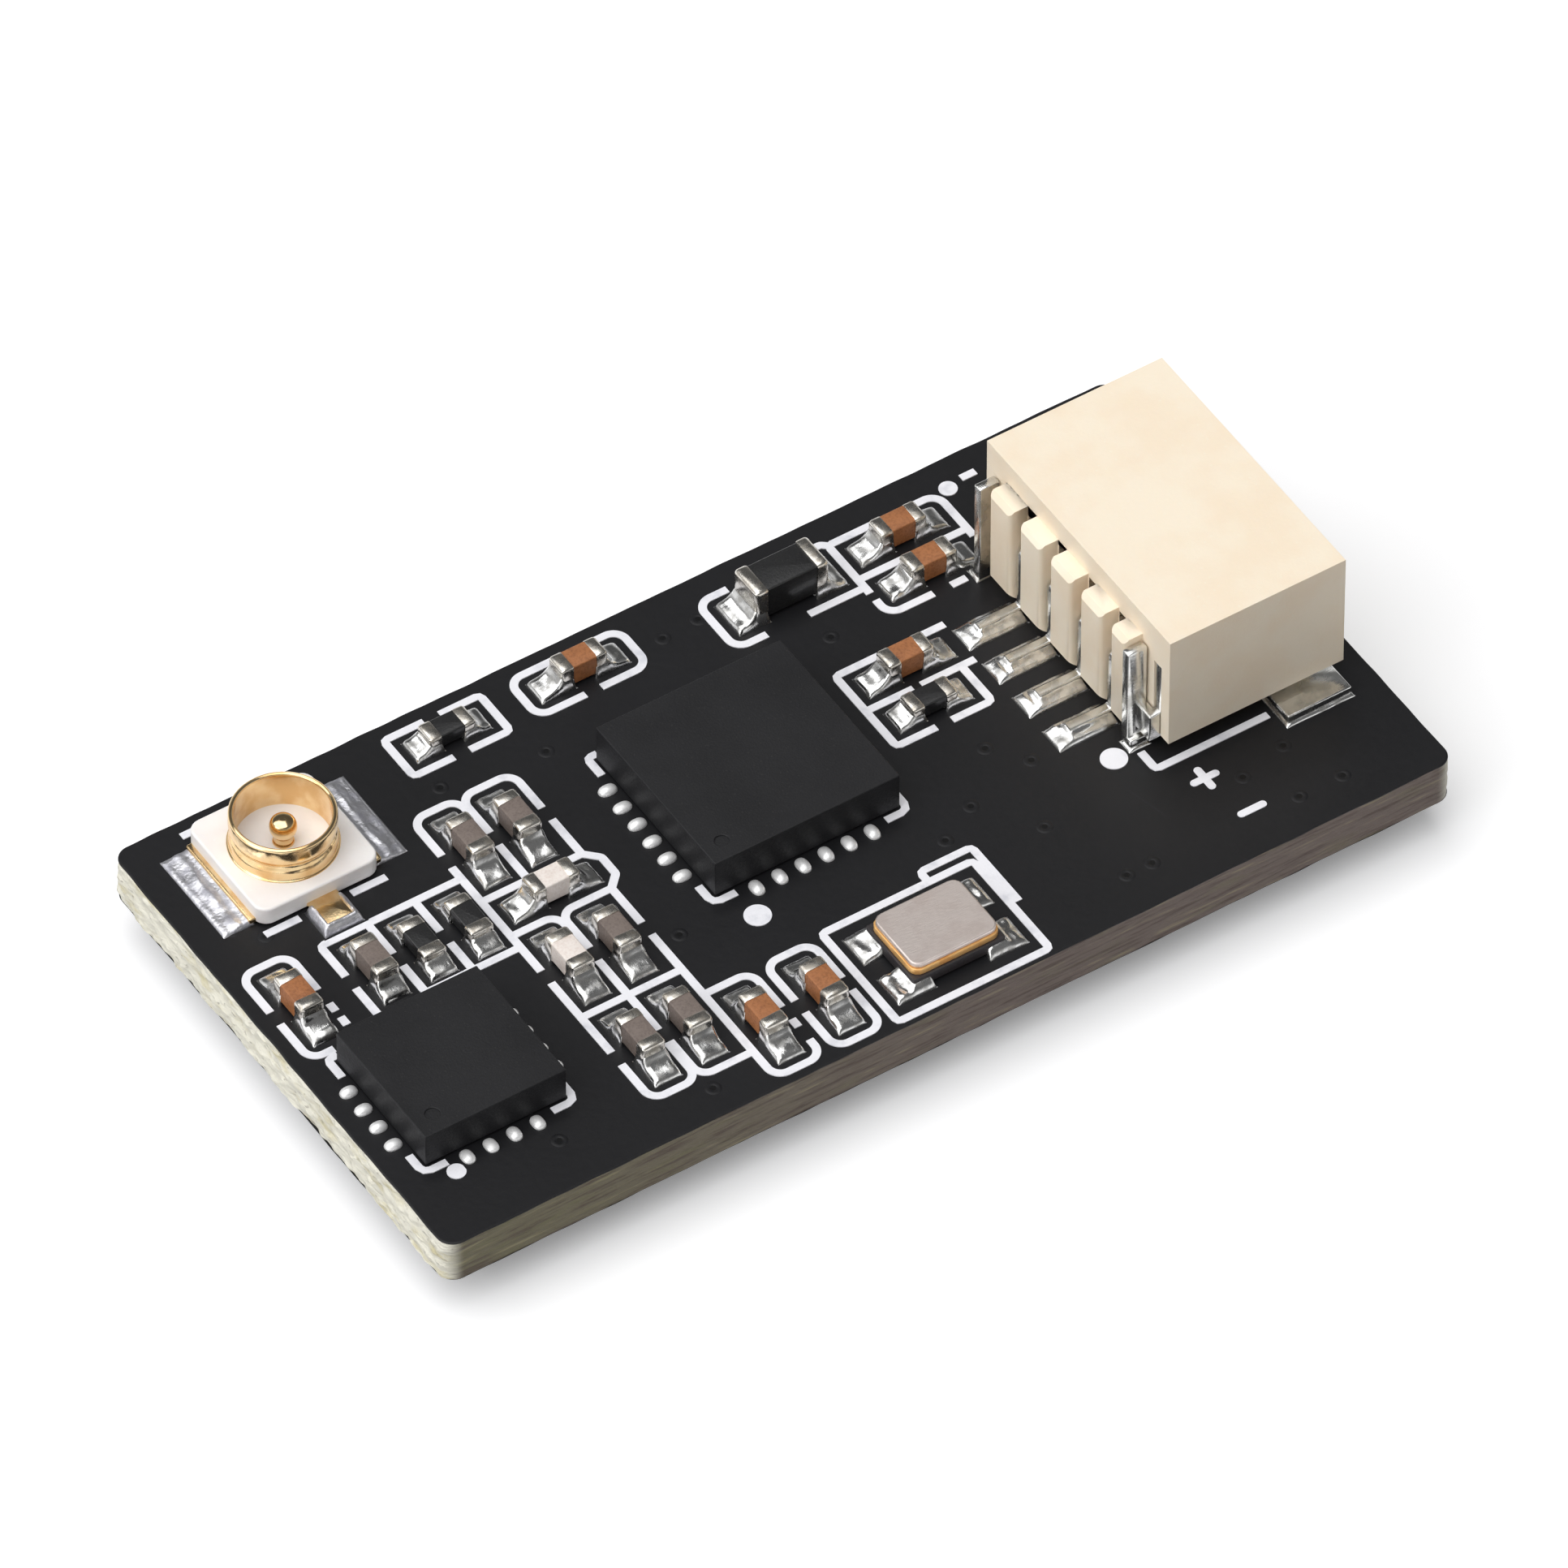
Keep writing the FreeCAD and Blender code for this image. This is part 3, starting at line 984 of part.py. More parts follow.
# Outline of the filter's two columns, which share their middle line
left, right = layout.column_4 - aside, layout.supply_x1 - aside
inner = layout.column_4 + aside
inner_left, inner_right = inner - sheet.ink_doubling, inner + sheet.ink_doubling
high, low = layout.row_4 + beyond, layout.row_1 - beyond
cross_high = (layout.row_4 - layout.land_half + layout.row_3 + layout.land_width / 2) / 2
cross_low = (layout.row_3 - layout.land_width / 2 + layout.row_2 + layout.land_half) / 2
between = (layout.row_2 + layout.row_1) / 2
upper, middle, lower = layout.row_4, layout.row_2, layout.row_1
for start, end in ((left, inner_left), (inner_right, right)):
    stroke((start, upper + half_break), (start, high), (end, high), (end, upper + half_break), bend=bend)
stroke((left, lower - half_break), (left, low), (inner_left, low), (inner_left, lower - half_break),
       bend=bend)
stroke((inner_right, lower - half_break), (inner_right, low), (right, low), bend=bend)
stroke((left, upper - half_break), (left, middle + half_break))
stroke((inner, upper - half_break), (inner, cross_high))
bulge = right + sheet.ink_bulge
stroke((right, upper - half_break), (right, cross_high), (bulge, cross_high - sheet.ink_bulge),
       (bulge, cross_low + sheet.ink_bulge), (right, cross_low), (right, middle + half_break))
stroke((left, cross_high), (right, cross_high))
stroke((left, cross_low), (inner_left, cross_low), (inner_left, middle + half_break), bend=bend)
stroke((inner_right, middle + half_break), (inner_right, cross_low), (right, cross_low), bend=bend)
for x in (left, inner):
    stroke((x, middle - half_break), (x, lower + half_break))
stroke((left, between), (right, between))

# Outlines of the supply row, the first joined to the filter's
supply_high, supply_low = layout.supply_y + beyond, layout.supply_y - beyond
supply_right = layout.supply_x1 + aside
stroke((right, middle - half_break), (right, supply_low), (supply_right, supply_low),
       (supply_right, supply_low + 2 * dash), bend=bend)
stroke((supply_right, layout.supply_y - half_break), (supply_right, layout.supply_y - half_break - dash))
stroke((right, supply_high), (supply_right, supply_high), (supply_right, layout.supply_y + half_break),
       bend=bend)
for sign in (-1, 1):
    near_break, end = layout.supply_y + sign * half_break, layout.supply_y + sign * beyond
    first, last = layout.supply_x2 - aside, layout.supply_x2 + aside
    stroke((first, near_break), (first, end), (last, end), (last, near_break), bend=bend)

# Outline of the filter row over the amplifier
row_high = layout.filter_y + layout.short_half + sheet.ink_reach
row_low = (layout.filter_y - layout.short_half + layout.amplifier_y + sheet.amplifier_side / 2
           + sheet.pad_reach) / 2
row_above, row_below = layout.filter_y + half_break, layout.filter_y - half_break
row_left = layout.column_1 - aside
walls = (layout.column_1 + aside, layout.column_2 + aside)
stroke((row_left, row_above), (row_left, row_high), (left, row_high))
stroke((row_left, row_below), (row_left, row_low))
stroke((walls[0], row_below), (walls[0], row_low), (left, row_low))
stroke((walls[1], row_below), (walls[1], row_low))
for x in walls:
    stroke((x, row_high), (x, row_above))

# Outline of the edge capacitor, with two dashes where its near right side would be
edge_left, edge_right = layout.edge_capacitor_x - aside, layout.edge_capacitor_x + aside
edge_high, edge_low = layout.filter_y + beyond, layout.filter_y - beyond
stroke((edge_left, row_above), (edge_left, edge_high), (edge_right, edge_high), (edge_right, row_above),
       bend=bend)
stroke((edge_left, row_below), (edge_left, edge_low), (layout.edge_capacitor_x, edge_low), bend=bend)
for step in (0, 1):
    dash_high = row_below - step * (dash + half_break) - sheet.ink_clearance
    stroke((edge_right, dash_high), (edge_right, dash_high - dash))

# Outlines along the far edge
across = layout.land_width / 2 + sheet.ink_reach
brackets(layout.top_x1, layout.top_y, layout.short_half + sheet.ink_reach, across)
brackets(layout.top_x2, layout.top_y, beyond, across, bend=bend)
bead_left = layout.bead_x - layout.bead_half - sheet.ink_reach
bead_across = sheet.bead_side / 2 + sheet.land_side + sheet.ink_reach
bead_high, bead_low = layout.bead_y + bead_across, layout.bead_y - bead_across
bead_open = layout.bead_x - sheet.bead_length / 2 + sheet.ink_clearance
stroke((bead_open, bead_high), (bead_left, bead_high), (bead_left, bead_low), (bead_open, bead_low),
       bend=bend)

# Outlines of the pair beside the bead, joined to the bead's
pair_left, pair_right = layout.far_pair_x - beyond, layout.far_pair_x + beyond
pair_high, pair_low = (layout.far_pair_y + layout.pair_pitch, layout.far_pair_y - layout.pair_pitch)
stroke((pair_left, layout.far_pair_y - aside + dash / 2), (pair_left, pair_high),
       (layout.far_pair_x - half_break, pair_high))
stroke((layout.far_pair_x + half_break, pair_high), (pair_right, pair_high),
       (pair_right, layout.far_pair_y - dash), bend=bend)
stroke((pair_left, pair_low + 2 * dash), (pair_left, pair_low), (layout.far_pair_x - dash, pair_low),
       bend=bend)
stroke((layout.far_pair_x + half_break, pair_low), (layout.far_pair_x + aside, pair_low))
for sign in (-1, 1):
    stroke((layout.far_pair_x + sign * beyond, layout.far_pair_y),
           (layout.far_pair_x + sign * half_break, layout.far_pair_y))
stroke((layout.bead_x + half_break, bead_low), (pair_left, bead_low))
stroke((pair_left - 2 * dash, bead_high), (pair_left - dash / 2, bead_high), (pair_left, pair_high))

# Outlines of the pair beside the wire header
side_left, side_right = layout.side_x - beyond, layout.side_x + beyond
short_right = layout.side_short_x + layout.short_half + sheet.ink_reach
side_high, side_low = layout.side_y + layout.pair_pitch, layout.side_y - layout.pair_pitch
stroke((layout.side_x - half_break, side_high), (side_left, side_high), (side_left, side_low),
       (layout.side_short_x - half_break, side_low))
stroke((layout.side_x + half_break, side_high), (side_right, side_high))
stroke((side_left, layout.side_y), (layout.side_short_x, layout.side_y))
stroke((layout.side_short_x + half_break, layout.side_y), (side_right, layout.side_y))
stroke((short_right, layout.side_y), (short_right, side_low), (layout.side_short_x + half_break, side_low))

# Corner marks and first-pad dots of the square chips
MARKED_CHIPS = (
    (layout.transceiver_x, layout.transceiver_y, sheet.transceiver_side),
    (layout.amplifier_x, layout.amplifier_y, sheet.amplifier_side),
)
for x, y, side in MARKED_CHIPS:
    out, leg = side / 2 + sheet.corner_mark_gap, sheet.corner_mark
    for sign in (-1, 1):
        stroke((x + sign * (out - leg), y - out), (x + sign * out, y - out), (x + sign * out, y - out + leg),
               bend=sheet.ink_width)
    stroke((x - out, y + out - leg), (x - out, y + out), (x - out + dash, y + out))
dot(layout.transceiver_x - sheet.transceiver_side / 2 + sheet.pad_inward,
    layout.transceiver_y - sheet.transceiver_side / 2 - 2 * sheet.pad_reach, sheet.dot_radius)
dot(layout.amplifier_x - sheet.amplifier_side / 2 + sheet.pad_inward,
    layout.amplifier_y - sheet.amplifier_side / 2 - sheet.pad_reach, sheet.small_dot_radius)

# Outline of the crystal, with a second line outside one corner
frame_x = sheet.crystal_length / 2 + sheet.crystal_land_reach + sheet.ink_reach
frame_y = sheet.crystal_width / 2 + sheet.crystal_land_side + 2 * sheet.ink_width
low_x, high_x = layout.crystal_x - frame_x, layout.crystal_x + frame_x
low_y, high_y = layout.crystal_y - frame_y, layout.crystal_y + frame_y
stroke((low_x, layout.crystal_y), (low_x, high_y), (high_x, high_y), (high_x, layout.crystal_y))
stroke((low_x, layout.crystal_y), (low_x, low_y), (high_x, low_y), (high_x, layout.crystal_y))
mark_x, mark_y = high_x + sheet.ink_width, high_y + sheet.ink_width + sheet.ink_step
mark_start = layout.crystal_x + sheet.crystal_length / 2 - 2 * sheet.ink_width
stroke((mark_start, high_y), (mark_start, mark_y), (mark_x, mark_y), (mark_x, layout.crystal_y))

# Strips beside the antenna socket
strip_y = sheet.socket_side / 2 + sheet.ink_width / 2 + sheet.ink_clearance
strip_x = sheet.socket_side / 2
for sign_x in (-1, 1):
    for sign_y in (-1, 1):
        start, y = layout.socket_x + sign_x * strip_x, layout.socket_y + sign_y * strip_y
        stroke((start, y), (start - sign_x * sheet.ink_strip, y))

# Marks at both ends of the wire header
corner_x = layout.header_x - sheet.rib_depth + sheet.ink_width / 2
corner_y = layout.header_y - layout.header_width / 2 - sheet.ink_width / 2
stroke((corner_x, corner_y + sheet.corner_mark), (corner_x, corner_y),
       (layout.header_x + value(foot_rear) - sheet.ink_width, corner_y))
dot(corner_x - sheet.header_pitch / 2, corner_y + sheet.corner_mark + sheet.dot_radius / 2,
    sheet.dot_radius)
dot(corner_x + sheet.header_pitch / 2 + sheet.ink_width, pair_high, sheet.small_dot_radius)
stroke((corner_x + sheet.header_pitch, bead_high), (layout.header_x + sheet.header_pitch, bead_high))

openings = []
clear = sheet.ink_clearance
for solids in lands_top.values():
    for solid in solids:
        box = solid.BoundBox
        openings.append(Part.makePlane(box.XLength + 2 * clear, box.YLength + 2 * clear,
                                       Vector(box.XMin - clear, box.YMin - clear, 0)))
for printed_line in strokes:
    printed_line.translate(Vector(-layout.board_length / 2, -layout.board_width / 2, 0))


def clusters(shapes):
    """The shapes sorted into groups that meet one another, judged by their boxes."""
    groups = []
    for shape in shapes:
        near = [member for member in groups
                if any(shape.BoundBox.intersect(other.BoundBox) for other in member)]
        groups = [member for member in groups if member not in near] + [sum(near, [shape])]
    return groups


printed = []
for members in clusters(strokes):
    ink = members[0].multiFuse(members[1:]) if len(members) > 1 else members[0]
    holes = [opening for opening in openings if ink.BoundBox.intersect(opening.BoundBox)]
    if holes:
        ink = ink.cut(holes)
    ink = ink.removeSplitter()
    ink.translate(Vector(0, 0, layout.top_z))
    printed += [face.extrude(Vector(0, 0, sheet.ink_thickness)) for face in ink.Faces]
group("printed_outlines", printed)
doc.recompute()

# Check and write
HIDDEN = ("socket_block", "socket_metal")
SUB_PARTS = ("PartDesign::Body", "Part::Box", "Part::Cut", "Part::Mirroring", "Part::Feature")
os.makedirs("parts", exist_ok=True)
failed = [thing.Name for thing in doc.Objects if {"Invalid", "Error"} & set(thing.State)]
pieces = [thing for thing in doc.Objects if thing.TypeId in SUB_PARTS and thing.Label not in HIDDEN]
for piece in pieces:
    if piece.Shape.isNull() or not piece.Shape.isValid() or not piece.Shape.Solids:
        failed.append(piece.Label)
if failed:
    raise RuntimeError("these came out wrong: " + ", ".join(failed))
for piece in pieces:
    piece.Shape.exportStep(os.path.join("parts", piece.Label + ".step"))
print(len(pieces), "sub-parts written")
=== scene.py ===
"""Looks of a miniature radio receiver: its finishes, its finer forms and the studio around it.

Places on the board are in millimetres from its left and near edges, sizes are in millimetres, and
the meshes are in metres.
"""

import functools
import logging
import math
from collections.abc import Callable, Sequence
from dataclasses import dataclass
from enum import Enum

import bmesh
import bpy
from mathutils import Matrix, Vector, noise


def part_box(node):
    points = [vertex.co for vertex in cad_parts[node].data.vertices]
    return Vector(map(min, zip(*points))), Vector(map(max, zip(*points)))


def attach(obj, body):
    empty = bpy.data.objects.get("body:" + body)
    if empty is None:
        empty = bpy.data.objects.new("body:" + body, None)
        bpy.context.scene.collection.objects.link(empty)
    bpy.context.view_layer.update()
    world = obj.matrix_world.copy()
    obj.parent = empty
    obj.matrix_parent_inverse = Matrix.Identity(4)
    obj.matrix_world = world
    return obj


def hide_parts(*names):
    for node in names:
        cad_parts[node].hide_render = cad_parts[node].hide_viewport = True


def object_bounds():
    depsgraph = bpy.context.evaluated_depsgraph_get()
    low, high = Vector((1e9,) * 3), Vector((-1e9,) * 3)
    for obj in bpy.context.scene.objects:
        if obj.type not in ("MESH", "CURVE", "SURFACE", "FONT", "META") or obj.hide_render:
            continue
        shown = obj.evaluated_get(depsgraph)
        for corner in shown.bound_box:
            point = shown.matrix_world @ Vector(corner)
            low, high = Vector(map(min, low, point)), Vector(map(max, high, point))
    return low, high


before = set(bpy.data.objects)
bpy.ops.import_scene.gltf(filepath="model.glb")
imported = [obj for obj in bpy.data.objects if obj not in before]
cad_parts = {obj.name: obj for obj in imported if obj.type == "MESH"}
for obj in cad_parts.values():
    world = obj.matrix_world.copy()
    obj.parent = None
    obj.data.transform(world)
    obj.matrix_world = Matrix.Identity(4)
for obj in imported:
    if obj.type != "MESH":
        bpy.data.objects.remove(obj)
CAD_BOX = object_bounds()

MM = 0.001
BOARD_LOW, BOARD_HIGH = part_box("circuit_board")
TOP, UNDER = BOARD_HIGH.z, BOARD_LOW.z
Tone = tuple[float, float, float]
WELD = 0.0005 * MM              # corners nearer than this are one
NEAR = 0.01 * MM                # places nearer than this are level with each other
LEAST_CORNER = 1e-6             # a block's corners keep this radius, in metres
LEAST_REACH = 1e-4              # a turned form's points keep this radius, in millimetres
NEARLY_FLAT = math.radians(1)   # facets that meet at less are one face
SHARP = math.radians(60)        # edges that turn by more are the form's own
SOLDER_CREASE = 80.0            # solder is smooth but for edges sharper than this, in degrees
WHITE_LIGHT = (1.0, 1.0, 1.0, 1.0)
log = logging.getLogger("receiver")


def spot(x: float, y: float) -> Vector:
    """A place on the board's upper face, in metres, from millimetres on the plan."""
    return Vector((BOARD_LOW.x + x * MM, BOARD_LOW.y + y * MM, TOP))


def linear(tone: Tone) -> tuple[float, float, float, float]:
    """Turn a display colour into a linear one.

    Args:
        tone: the colour, 0 to 255 a channel.

    Returns:
        The colour that a shader takes, with full alpha.
    """
    shares = [channel / 255 for channel in tone]
    light = [share / 12.92 if share <= 0.04045 else ((share + 0.055) / 1.055) ** 2.4
             for share in shares]
    return light[0], light[1], light[2], 1.0


def in_scene(name: str, data: bpy.types.ID) -> bpy.types.Object:
    """Put something in the scene.

    Args:
        name: the new object's name.
        data: its mesh, light or camera.

    Returns:
        The new object.
    """
    made = bpy.data.objects.new(name, data)
    bpy.context.scene.collection.objects.link(made)
    return made


class Wire:
    """An output socket of a shader node: an expression on wires adds the Math nodes it needs."""

    def __init__(self, graph: "Graph", socket: bpy.types.NodeSocket) -> None:
        """Wrap a socket of a graph."""
        self.graph = graph
        self.socket = socket

    def maths(self, operation: str, *values: "float | Wire") -> "Wire":
        """The result of a Math node's operation on the given values."""
        return self.graph.node("ShaderNodeMath", {"operation": operation}, dict(enumerate(values)))

    def __add__(self, other: "float | Wire") -> "Wire":
        """Sum."""
        return self.maths("ADD", self, other)

    __radd__ = __add__

    def __sub__(self, other: "float | Wire") -> "Wire":
        """Difference."""
        return self.maths("SUBTRACT", self, other)

    def __rsub__(self, other: "float | Wire") -> "Wire":
        """Difference from a plain number."""
        return self.maths("SUBTRACT", other, self)

    def __mul__(self, other: "float | Wire") -> "Wire":
        """Product."""
        return self.maths("MULTIPLY", self, other)

    __rmul__ = __mul__

    def __abs__(self) -> "Wire":
        """Absolute value."""
        return self.maths("ABSOLUTE", self)

    def most(self, other: "float | Wire") -> "Wire":
        """The larger of two values."""
        return self.maths("MAXIMUM", self, other)

    def least(self, other: "float | Wire") -> "Wire":
        """The smaller of two values."""
        return self.maths("MINIMUM", self, other)

    def between(self, low: float, high: float) -> "Wire":
        """Rises smoothly from 0 at low to 1 at high."""
        return self.graph.node("ShaderNodeMapRange", {"interpolation_type": "SMOOTHSTEP"},
                               {"Value": self, "From Min": low, "From Max": high})

    def part(self, output: str) -> "Wire":
        """Another output of the same node."""
        return Wire(self.graph, self.socket.node.outputs[output])


class Graph:
    """The node graph of one material or of the world."""

    def __init__(self, owner: bpy.types.Material | bpy.types.World) -> None:
        """Start an empty graph.

        Args:
            owner: the material or the world that it belongs to.
        """
        owner.use_nodes = True
        self.tree = owner.node_tree
        self.tree.nodes.clear()

    def node(self, kind: str, settings: dict | None = None, inputs: dict | None = None,
             output: int | str = 0) -> Wire:
        """Add a node.

        Args:
            kind: the node's type.
            settings: its properties, set first.
            inputs: values or wires, by the socket's name or number.
            output: the output socket to hand back.

        Returns:
            The wire of that output.
        """
        made = self.tree.nodes.new(kind)
        for key, choice in (settings or {}).items():
            setattr(made, key, choice)
        for key, given in (inputs or {}).items():
            if isinstance(given, Wire):
                self.tree.links.new(given.socket, made.inputs[key])
            else:
                made.inputs[key].default_value = given
        return Wire(self, made.outputs[output] if made.outputs else made.inputs[0])

    def place(self) -> Wire:
        """The point being shaded, in metres in the row's frame."""
        return self.node("ShaderNodeTexCoord", output="Object")

    def axis(self, name: str) -> Wire:
        """One coordinate of the point being shaded, in millimetres."""
        return self.node("ShaderNodeSeparateXYZ", inputs={0: self.place()}, output=name) * (1 / MM)

    def pattern(self, kind: str, size: float, seed: float, stretch: Tone = (1, 1, 1),
                **inputs: float) -> Wire:
        """Add a texture on the place being shaded.

        Args:
            kind: the texture node's type.
            size: the width of its spots in millimetres.
            seed: moves the pattern.
            stretch: how much longer the spots are along X, Y and Z.
            inputs: the texture's other values.

        Returns:
            The wire of the texture.
        """
        scale = tuple(1 / (size * MM * longer) for longer in stretch)
        moved = self.node("ShaderNodeMapping", inputs={"Vector": self.place(), "Scale": scale,
                                                       "Location": (seed,) * 3})
        return self.node(kind, inputs={"Vector": moved, "Scale": 1.0, **inputs})

    def speckle(self, size: float, detail: float = 2.0, stretch: Tone = (1, 1, 1),
                seed: float = 0.0) -> Wire:
        """Soft noise from 0 to 1.

        Args:
            size: the width of its spots in millimetres.
            detail: how many finer layers it has.
            stretch: how much longer the spots are along X, Y and Z.
            seed: moves the pattern, so that two of them differ.

        Returns:
            The wire of the noise.
        """
        return self.pattern("ShaderNodeTexNoise", size, seed, stretch, Detail=detail)

    def cells(self, size: float, seed: float = 0.0) -> Wire:
        """Distance from the nearest of many points scattered at a size in millimetres, in sizes."""
        return self.pattern("ShaderNodeTexVoronoi", size, seed)

    def toward(self, point: Wire, way: Vector) -> Wire:
        """How far a point lies along a direction, in millimetres."""
        return self.node("ShaderNodeVectorMath", {"operation": "DOT_PRODUCT"},
                         {0: point, 1: tuple(way)}, "Value") * (1 / MM)

    def blend(self, first: "Tone | Wire", second: "Tone | Wire", share: "float | Wire") -> Wire:
        """Mix two colours.

        Args:
            first: the colour where the share is 0.
            second: the colour where the share is 1.
            share: how much of the second there is.

        Returns:
            The wire of the mix.
        """
        ends = [given if isinstance(given, Wire) else linear(given) for given in (first, second)]
        return self.node("ShaderNodeMix", {"data_type": "RGBA"},
                         {0: share, 6: ends[0], 7: ends[1]}, 2)

    def relief(self, height: Wire, depth: float, under: Wire | None = None) -> Wire:
        """Turn a height into a normal.

        Args:
            height: the height, from 0 to 1.
            depth: the relief's depth in millimetres.
            under: the normal of a relief that it lies on.

        Returns:
            The wire of the normal.
        """
        inputs = {"Height": height, "Distance": depth * MM, "Strength": 1.0}
        if under is not None:
            inputs["Normal"] = under
        return self.node("ShaderNodeBump", inputs=inputs)

    def surface(self, **inputs: "float | tuple | Wire") -> Wire:
        """A Principled surface, with an underscore for each blank in its sockets' names."""
        named = {key.replace("_", " "): given for key, given in inputs.items()}
        return self.node("ShaderNodeBsdfPrincipled", inputs=named)

    def close(self, shader: Wire) -> None:
        """Lead a shader to the material's output."""
        self.node("ShaderNodeOutputMaterial", inputs={"Surface": shader})


@dataclass(frozen=True)
class Finish:
    """A finish by name, with the record's slot that it belongs to."""

    name: str
    slot: str

    def paint(self, graph: Graph) -> Wire:
        """The finish's shader."""
        raise NotImplementedError

    @functools.cache
    def material(self) -> bpy.types.Material:
        """The finish as a material, made once.

        Returns:
            The material.
        """
        made = bpy.data.materials.new(self.name)
        graph = Graph(made)
        graph.close(self.paint(graph))
        return made


@dataclass(frozen=True)
class MaskFinish(Finish):
    """Satin black solder mask, with its clouds, grit, uneven flow and one faint scratch."""

    tone: Tone = (27, 27, 29)
    worn: Tone = (36, 36, 39)
    roughness: float = 0.4
    cloud: float = 2.6
    flow: float = 0.16
    grit: float = 0.09
    relief_depth: float = 0.0035
    gloss: float = 0.26
    scratch_start: tuple[float, float] = (16.35, 2.72)
    scratch_end: tuple[float, float] = (16.62, 1.62)
    scratch_fade: float = 0.3

    def paint(self, graph: Graph) -> Wire:
        """Paint the finish.

        Args:
            graph: the graph that takes its nodes.

        Returns:
            The finish's shader.
        """
        cloud = graph.speckle(self.cloud, detail=3.0)
        flow = graph.speckle(self.flow, seed=3.0)
        grit = graph.cells(self.grit, seed=5.0).between(0.12, 0.02)
        scratch = self.scratch(graph)
        shade = (cloud - 0.3) * 0.7 + grit * 0.18 + scratch
        return graph.surface(Base_Color=graph.blend(self.tone, self.worn, shade),
                             Roughness=(flow - 0.5) * 0.12 + self.roughness + scratch * 0.2,
                             Normal=graph.relief(flow, self.relief_depth),
                             Specular_IOR_Level=self.gloss)

    def scratch(self, graph: Graph) -> Wire:
        """Draw the scratch on the bare stretch near the wire header.

        Args:
            graph: the graph that takes its nodes.

        Returns:
            The scratch's strength.
        """
        start, end = spot(*self.scratch_start), spot(*self.scratch_end)
        run = (end - start).normalized()
        point = graph.node("ShaderNodeVectorMath", {"operation": "SUBTRACT"},
                           {0: graph.place(), 1: tuple(start)})
        along = graph.toward(point, run)
        across = abs(graph.toward(point, Vector((-run.y, run.x, 0.0))))
        length = (end - start).length / MM
        inside = (along.between(0.0, self.scratch_fade)
                  * along.between(length, length - self.scratch_fade))
        return across.between(0.028, 0.008) * inside * 0.7


@dataclass(frozen=True)
class InkFinish(Finish):
    """Matt white printing ink, thinner in places."""

    tone: Tone = (240, 240, 245)
    thin: Tone = (216, 217, 224)
    roughness: float = 0.6
    cover: float = 0.35
    grain: float = 0.05
    relief_depth: float = 0.004

    def paint(self, graph: Graph) -> Wire:
        """Paint the finish.

        Args:
            graph: the graph that takes its nodes.

        Returns:
            The finish's shader.
        """
        cover = graph.speckle(self.cover, detail=4.0)
        grain = graph.speckle(self.grain, seed=2.0)
        colour = graph.blend(self.tone, self.thin, cover.between(0.5, 0.78))
        return graph.surface(Base_Color=colour, Roughness=(grain - 0.5) * 0.2 + self.roughness,
                             Normal=graph.relief(grain, self.relief_depth))


@dataclass(frozen=True)
class LaminateFinish(Finish):
    """Sawn edge of a glass laminate: plies and fibres, paler where the cutter frayed it."""

    sawn: Tone = (116, 103, 96)
    green: Tone = (118, 114, 84)
    frayed: Tone = (238, 235, 220)
    amber: Tone = (204, 194, 150)
    shadow: Tone = (74, 58, 49)
    roughness: float = 0.66
    bundle: float = 0.5
    streak: float = 0.2
    fibre: float = 0.07
    relief_depth: float = 0.03
    frayed_reach: float = 0.4

    def paint(self, graph: Graph) -> Wire:
        """Paint the finish.

        Args:
            graph: the graph that takes its nodes.

        Returns:
            The finish's shader.
        """
        half = (BOARD_HIGH.x - BOARD_LOW.x) / 2 / MM
        along = graph.axis("X")
        end = abs(along).between(half - self.frayed_reach, half - 0.02)
        bundles = graph.speckle(self.bundle, detail=4.0, stretch=(2.6, 1.6, 0.4))
        streaks = graph.speckle(self.streak, detail=4.0, stretch=(7.0, 7.0, 0.45), seed=4.0)
        fibres = graph.speckle(self.fibre, detail=3.0, stretch=(2.4, 2.4, 0.8), seed=7.0)
        mossy = along.between(2.0, -half) * 0.75 + bundles.between(0.52, 0.7) * 0.35
        side = graph.blend(self.sawn, self.green, mossy.least(1.0))
        side = graph.blend(side, self.shadow, streaks.between(0.48, 0.66) * 0.75)
        side = graph.blend(side, self.amber, streaks.between(0.44, 0.3) * 0.3)
        pale = graph.blend(self.frayed, self.amber, bundles.between(0.5, 0.75) * 0.8)
        pale = graph.blend(pale, self.shadow, fibres.between(0.6, 0.76) * 0.5)
        normal = graph.relief(fibres, self.relief_depth, graph.relief(streaks, self.relief_depth))
        return graph.surface(Base_Color=graph.blend(side, pale, end),
                             Roughness=(fibres - 0.5) * 0.3 + self.roughness, Normal=normal)


@dataclass(frozen=True)
class MetalFinish(Finish):
    """A metal with fine grain, dull patches and a small uneven relief; below full metallic, part is
    painted sheen.
    """

    tone: Tone = (205, 203, 198)
    dull: Tone = (140, 138, 134)
    bright_roughness: float = 0.16
    dull_roughness: float = 0.5
    patch: float = 0.3
    grain: float = 0.05
    relief_depth: float = 0.004
    stretch: Tone = (1.0, 1.0, 1.0)
    # metal under 1 turns the rest into diffuse colour, which paints sheen in place of reflections
    metal: float = 1.0

    def paint(self, graph: Graph) -> Wire:
        """Paint the finish.

        Args:
            graph: the graph that takes its nodes.

        Returns:
            The finish's shader.
        """
        patches = graph.speckle(self.patch, detail=3.0, seed=1.0).between(0.42, 0.68)
        grains = graph.speckle(self.grain, detail=3.0, stretch=self.stretch, seed=6.0)
        span = self.dull_roughness - self.bright_roughness
        rough = patches * span + (grains - 0.5) * 0.25 * span + self.bright_roughness
        return graph.surface(Base_Color=graph.blend(self.tone, self.dull, patches),
                             Metallic=self.metal, Roughness=rough,
                             Normal=graph.relief(grains, self.relief_depth))


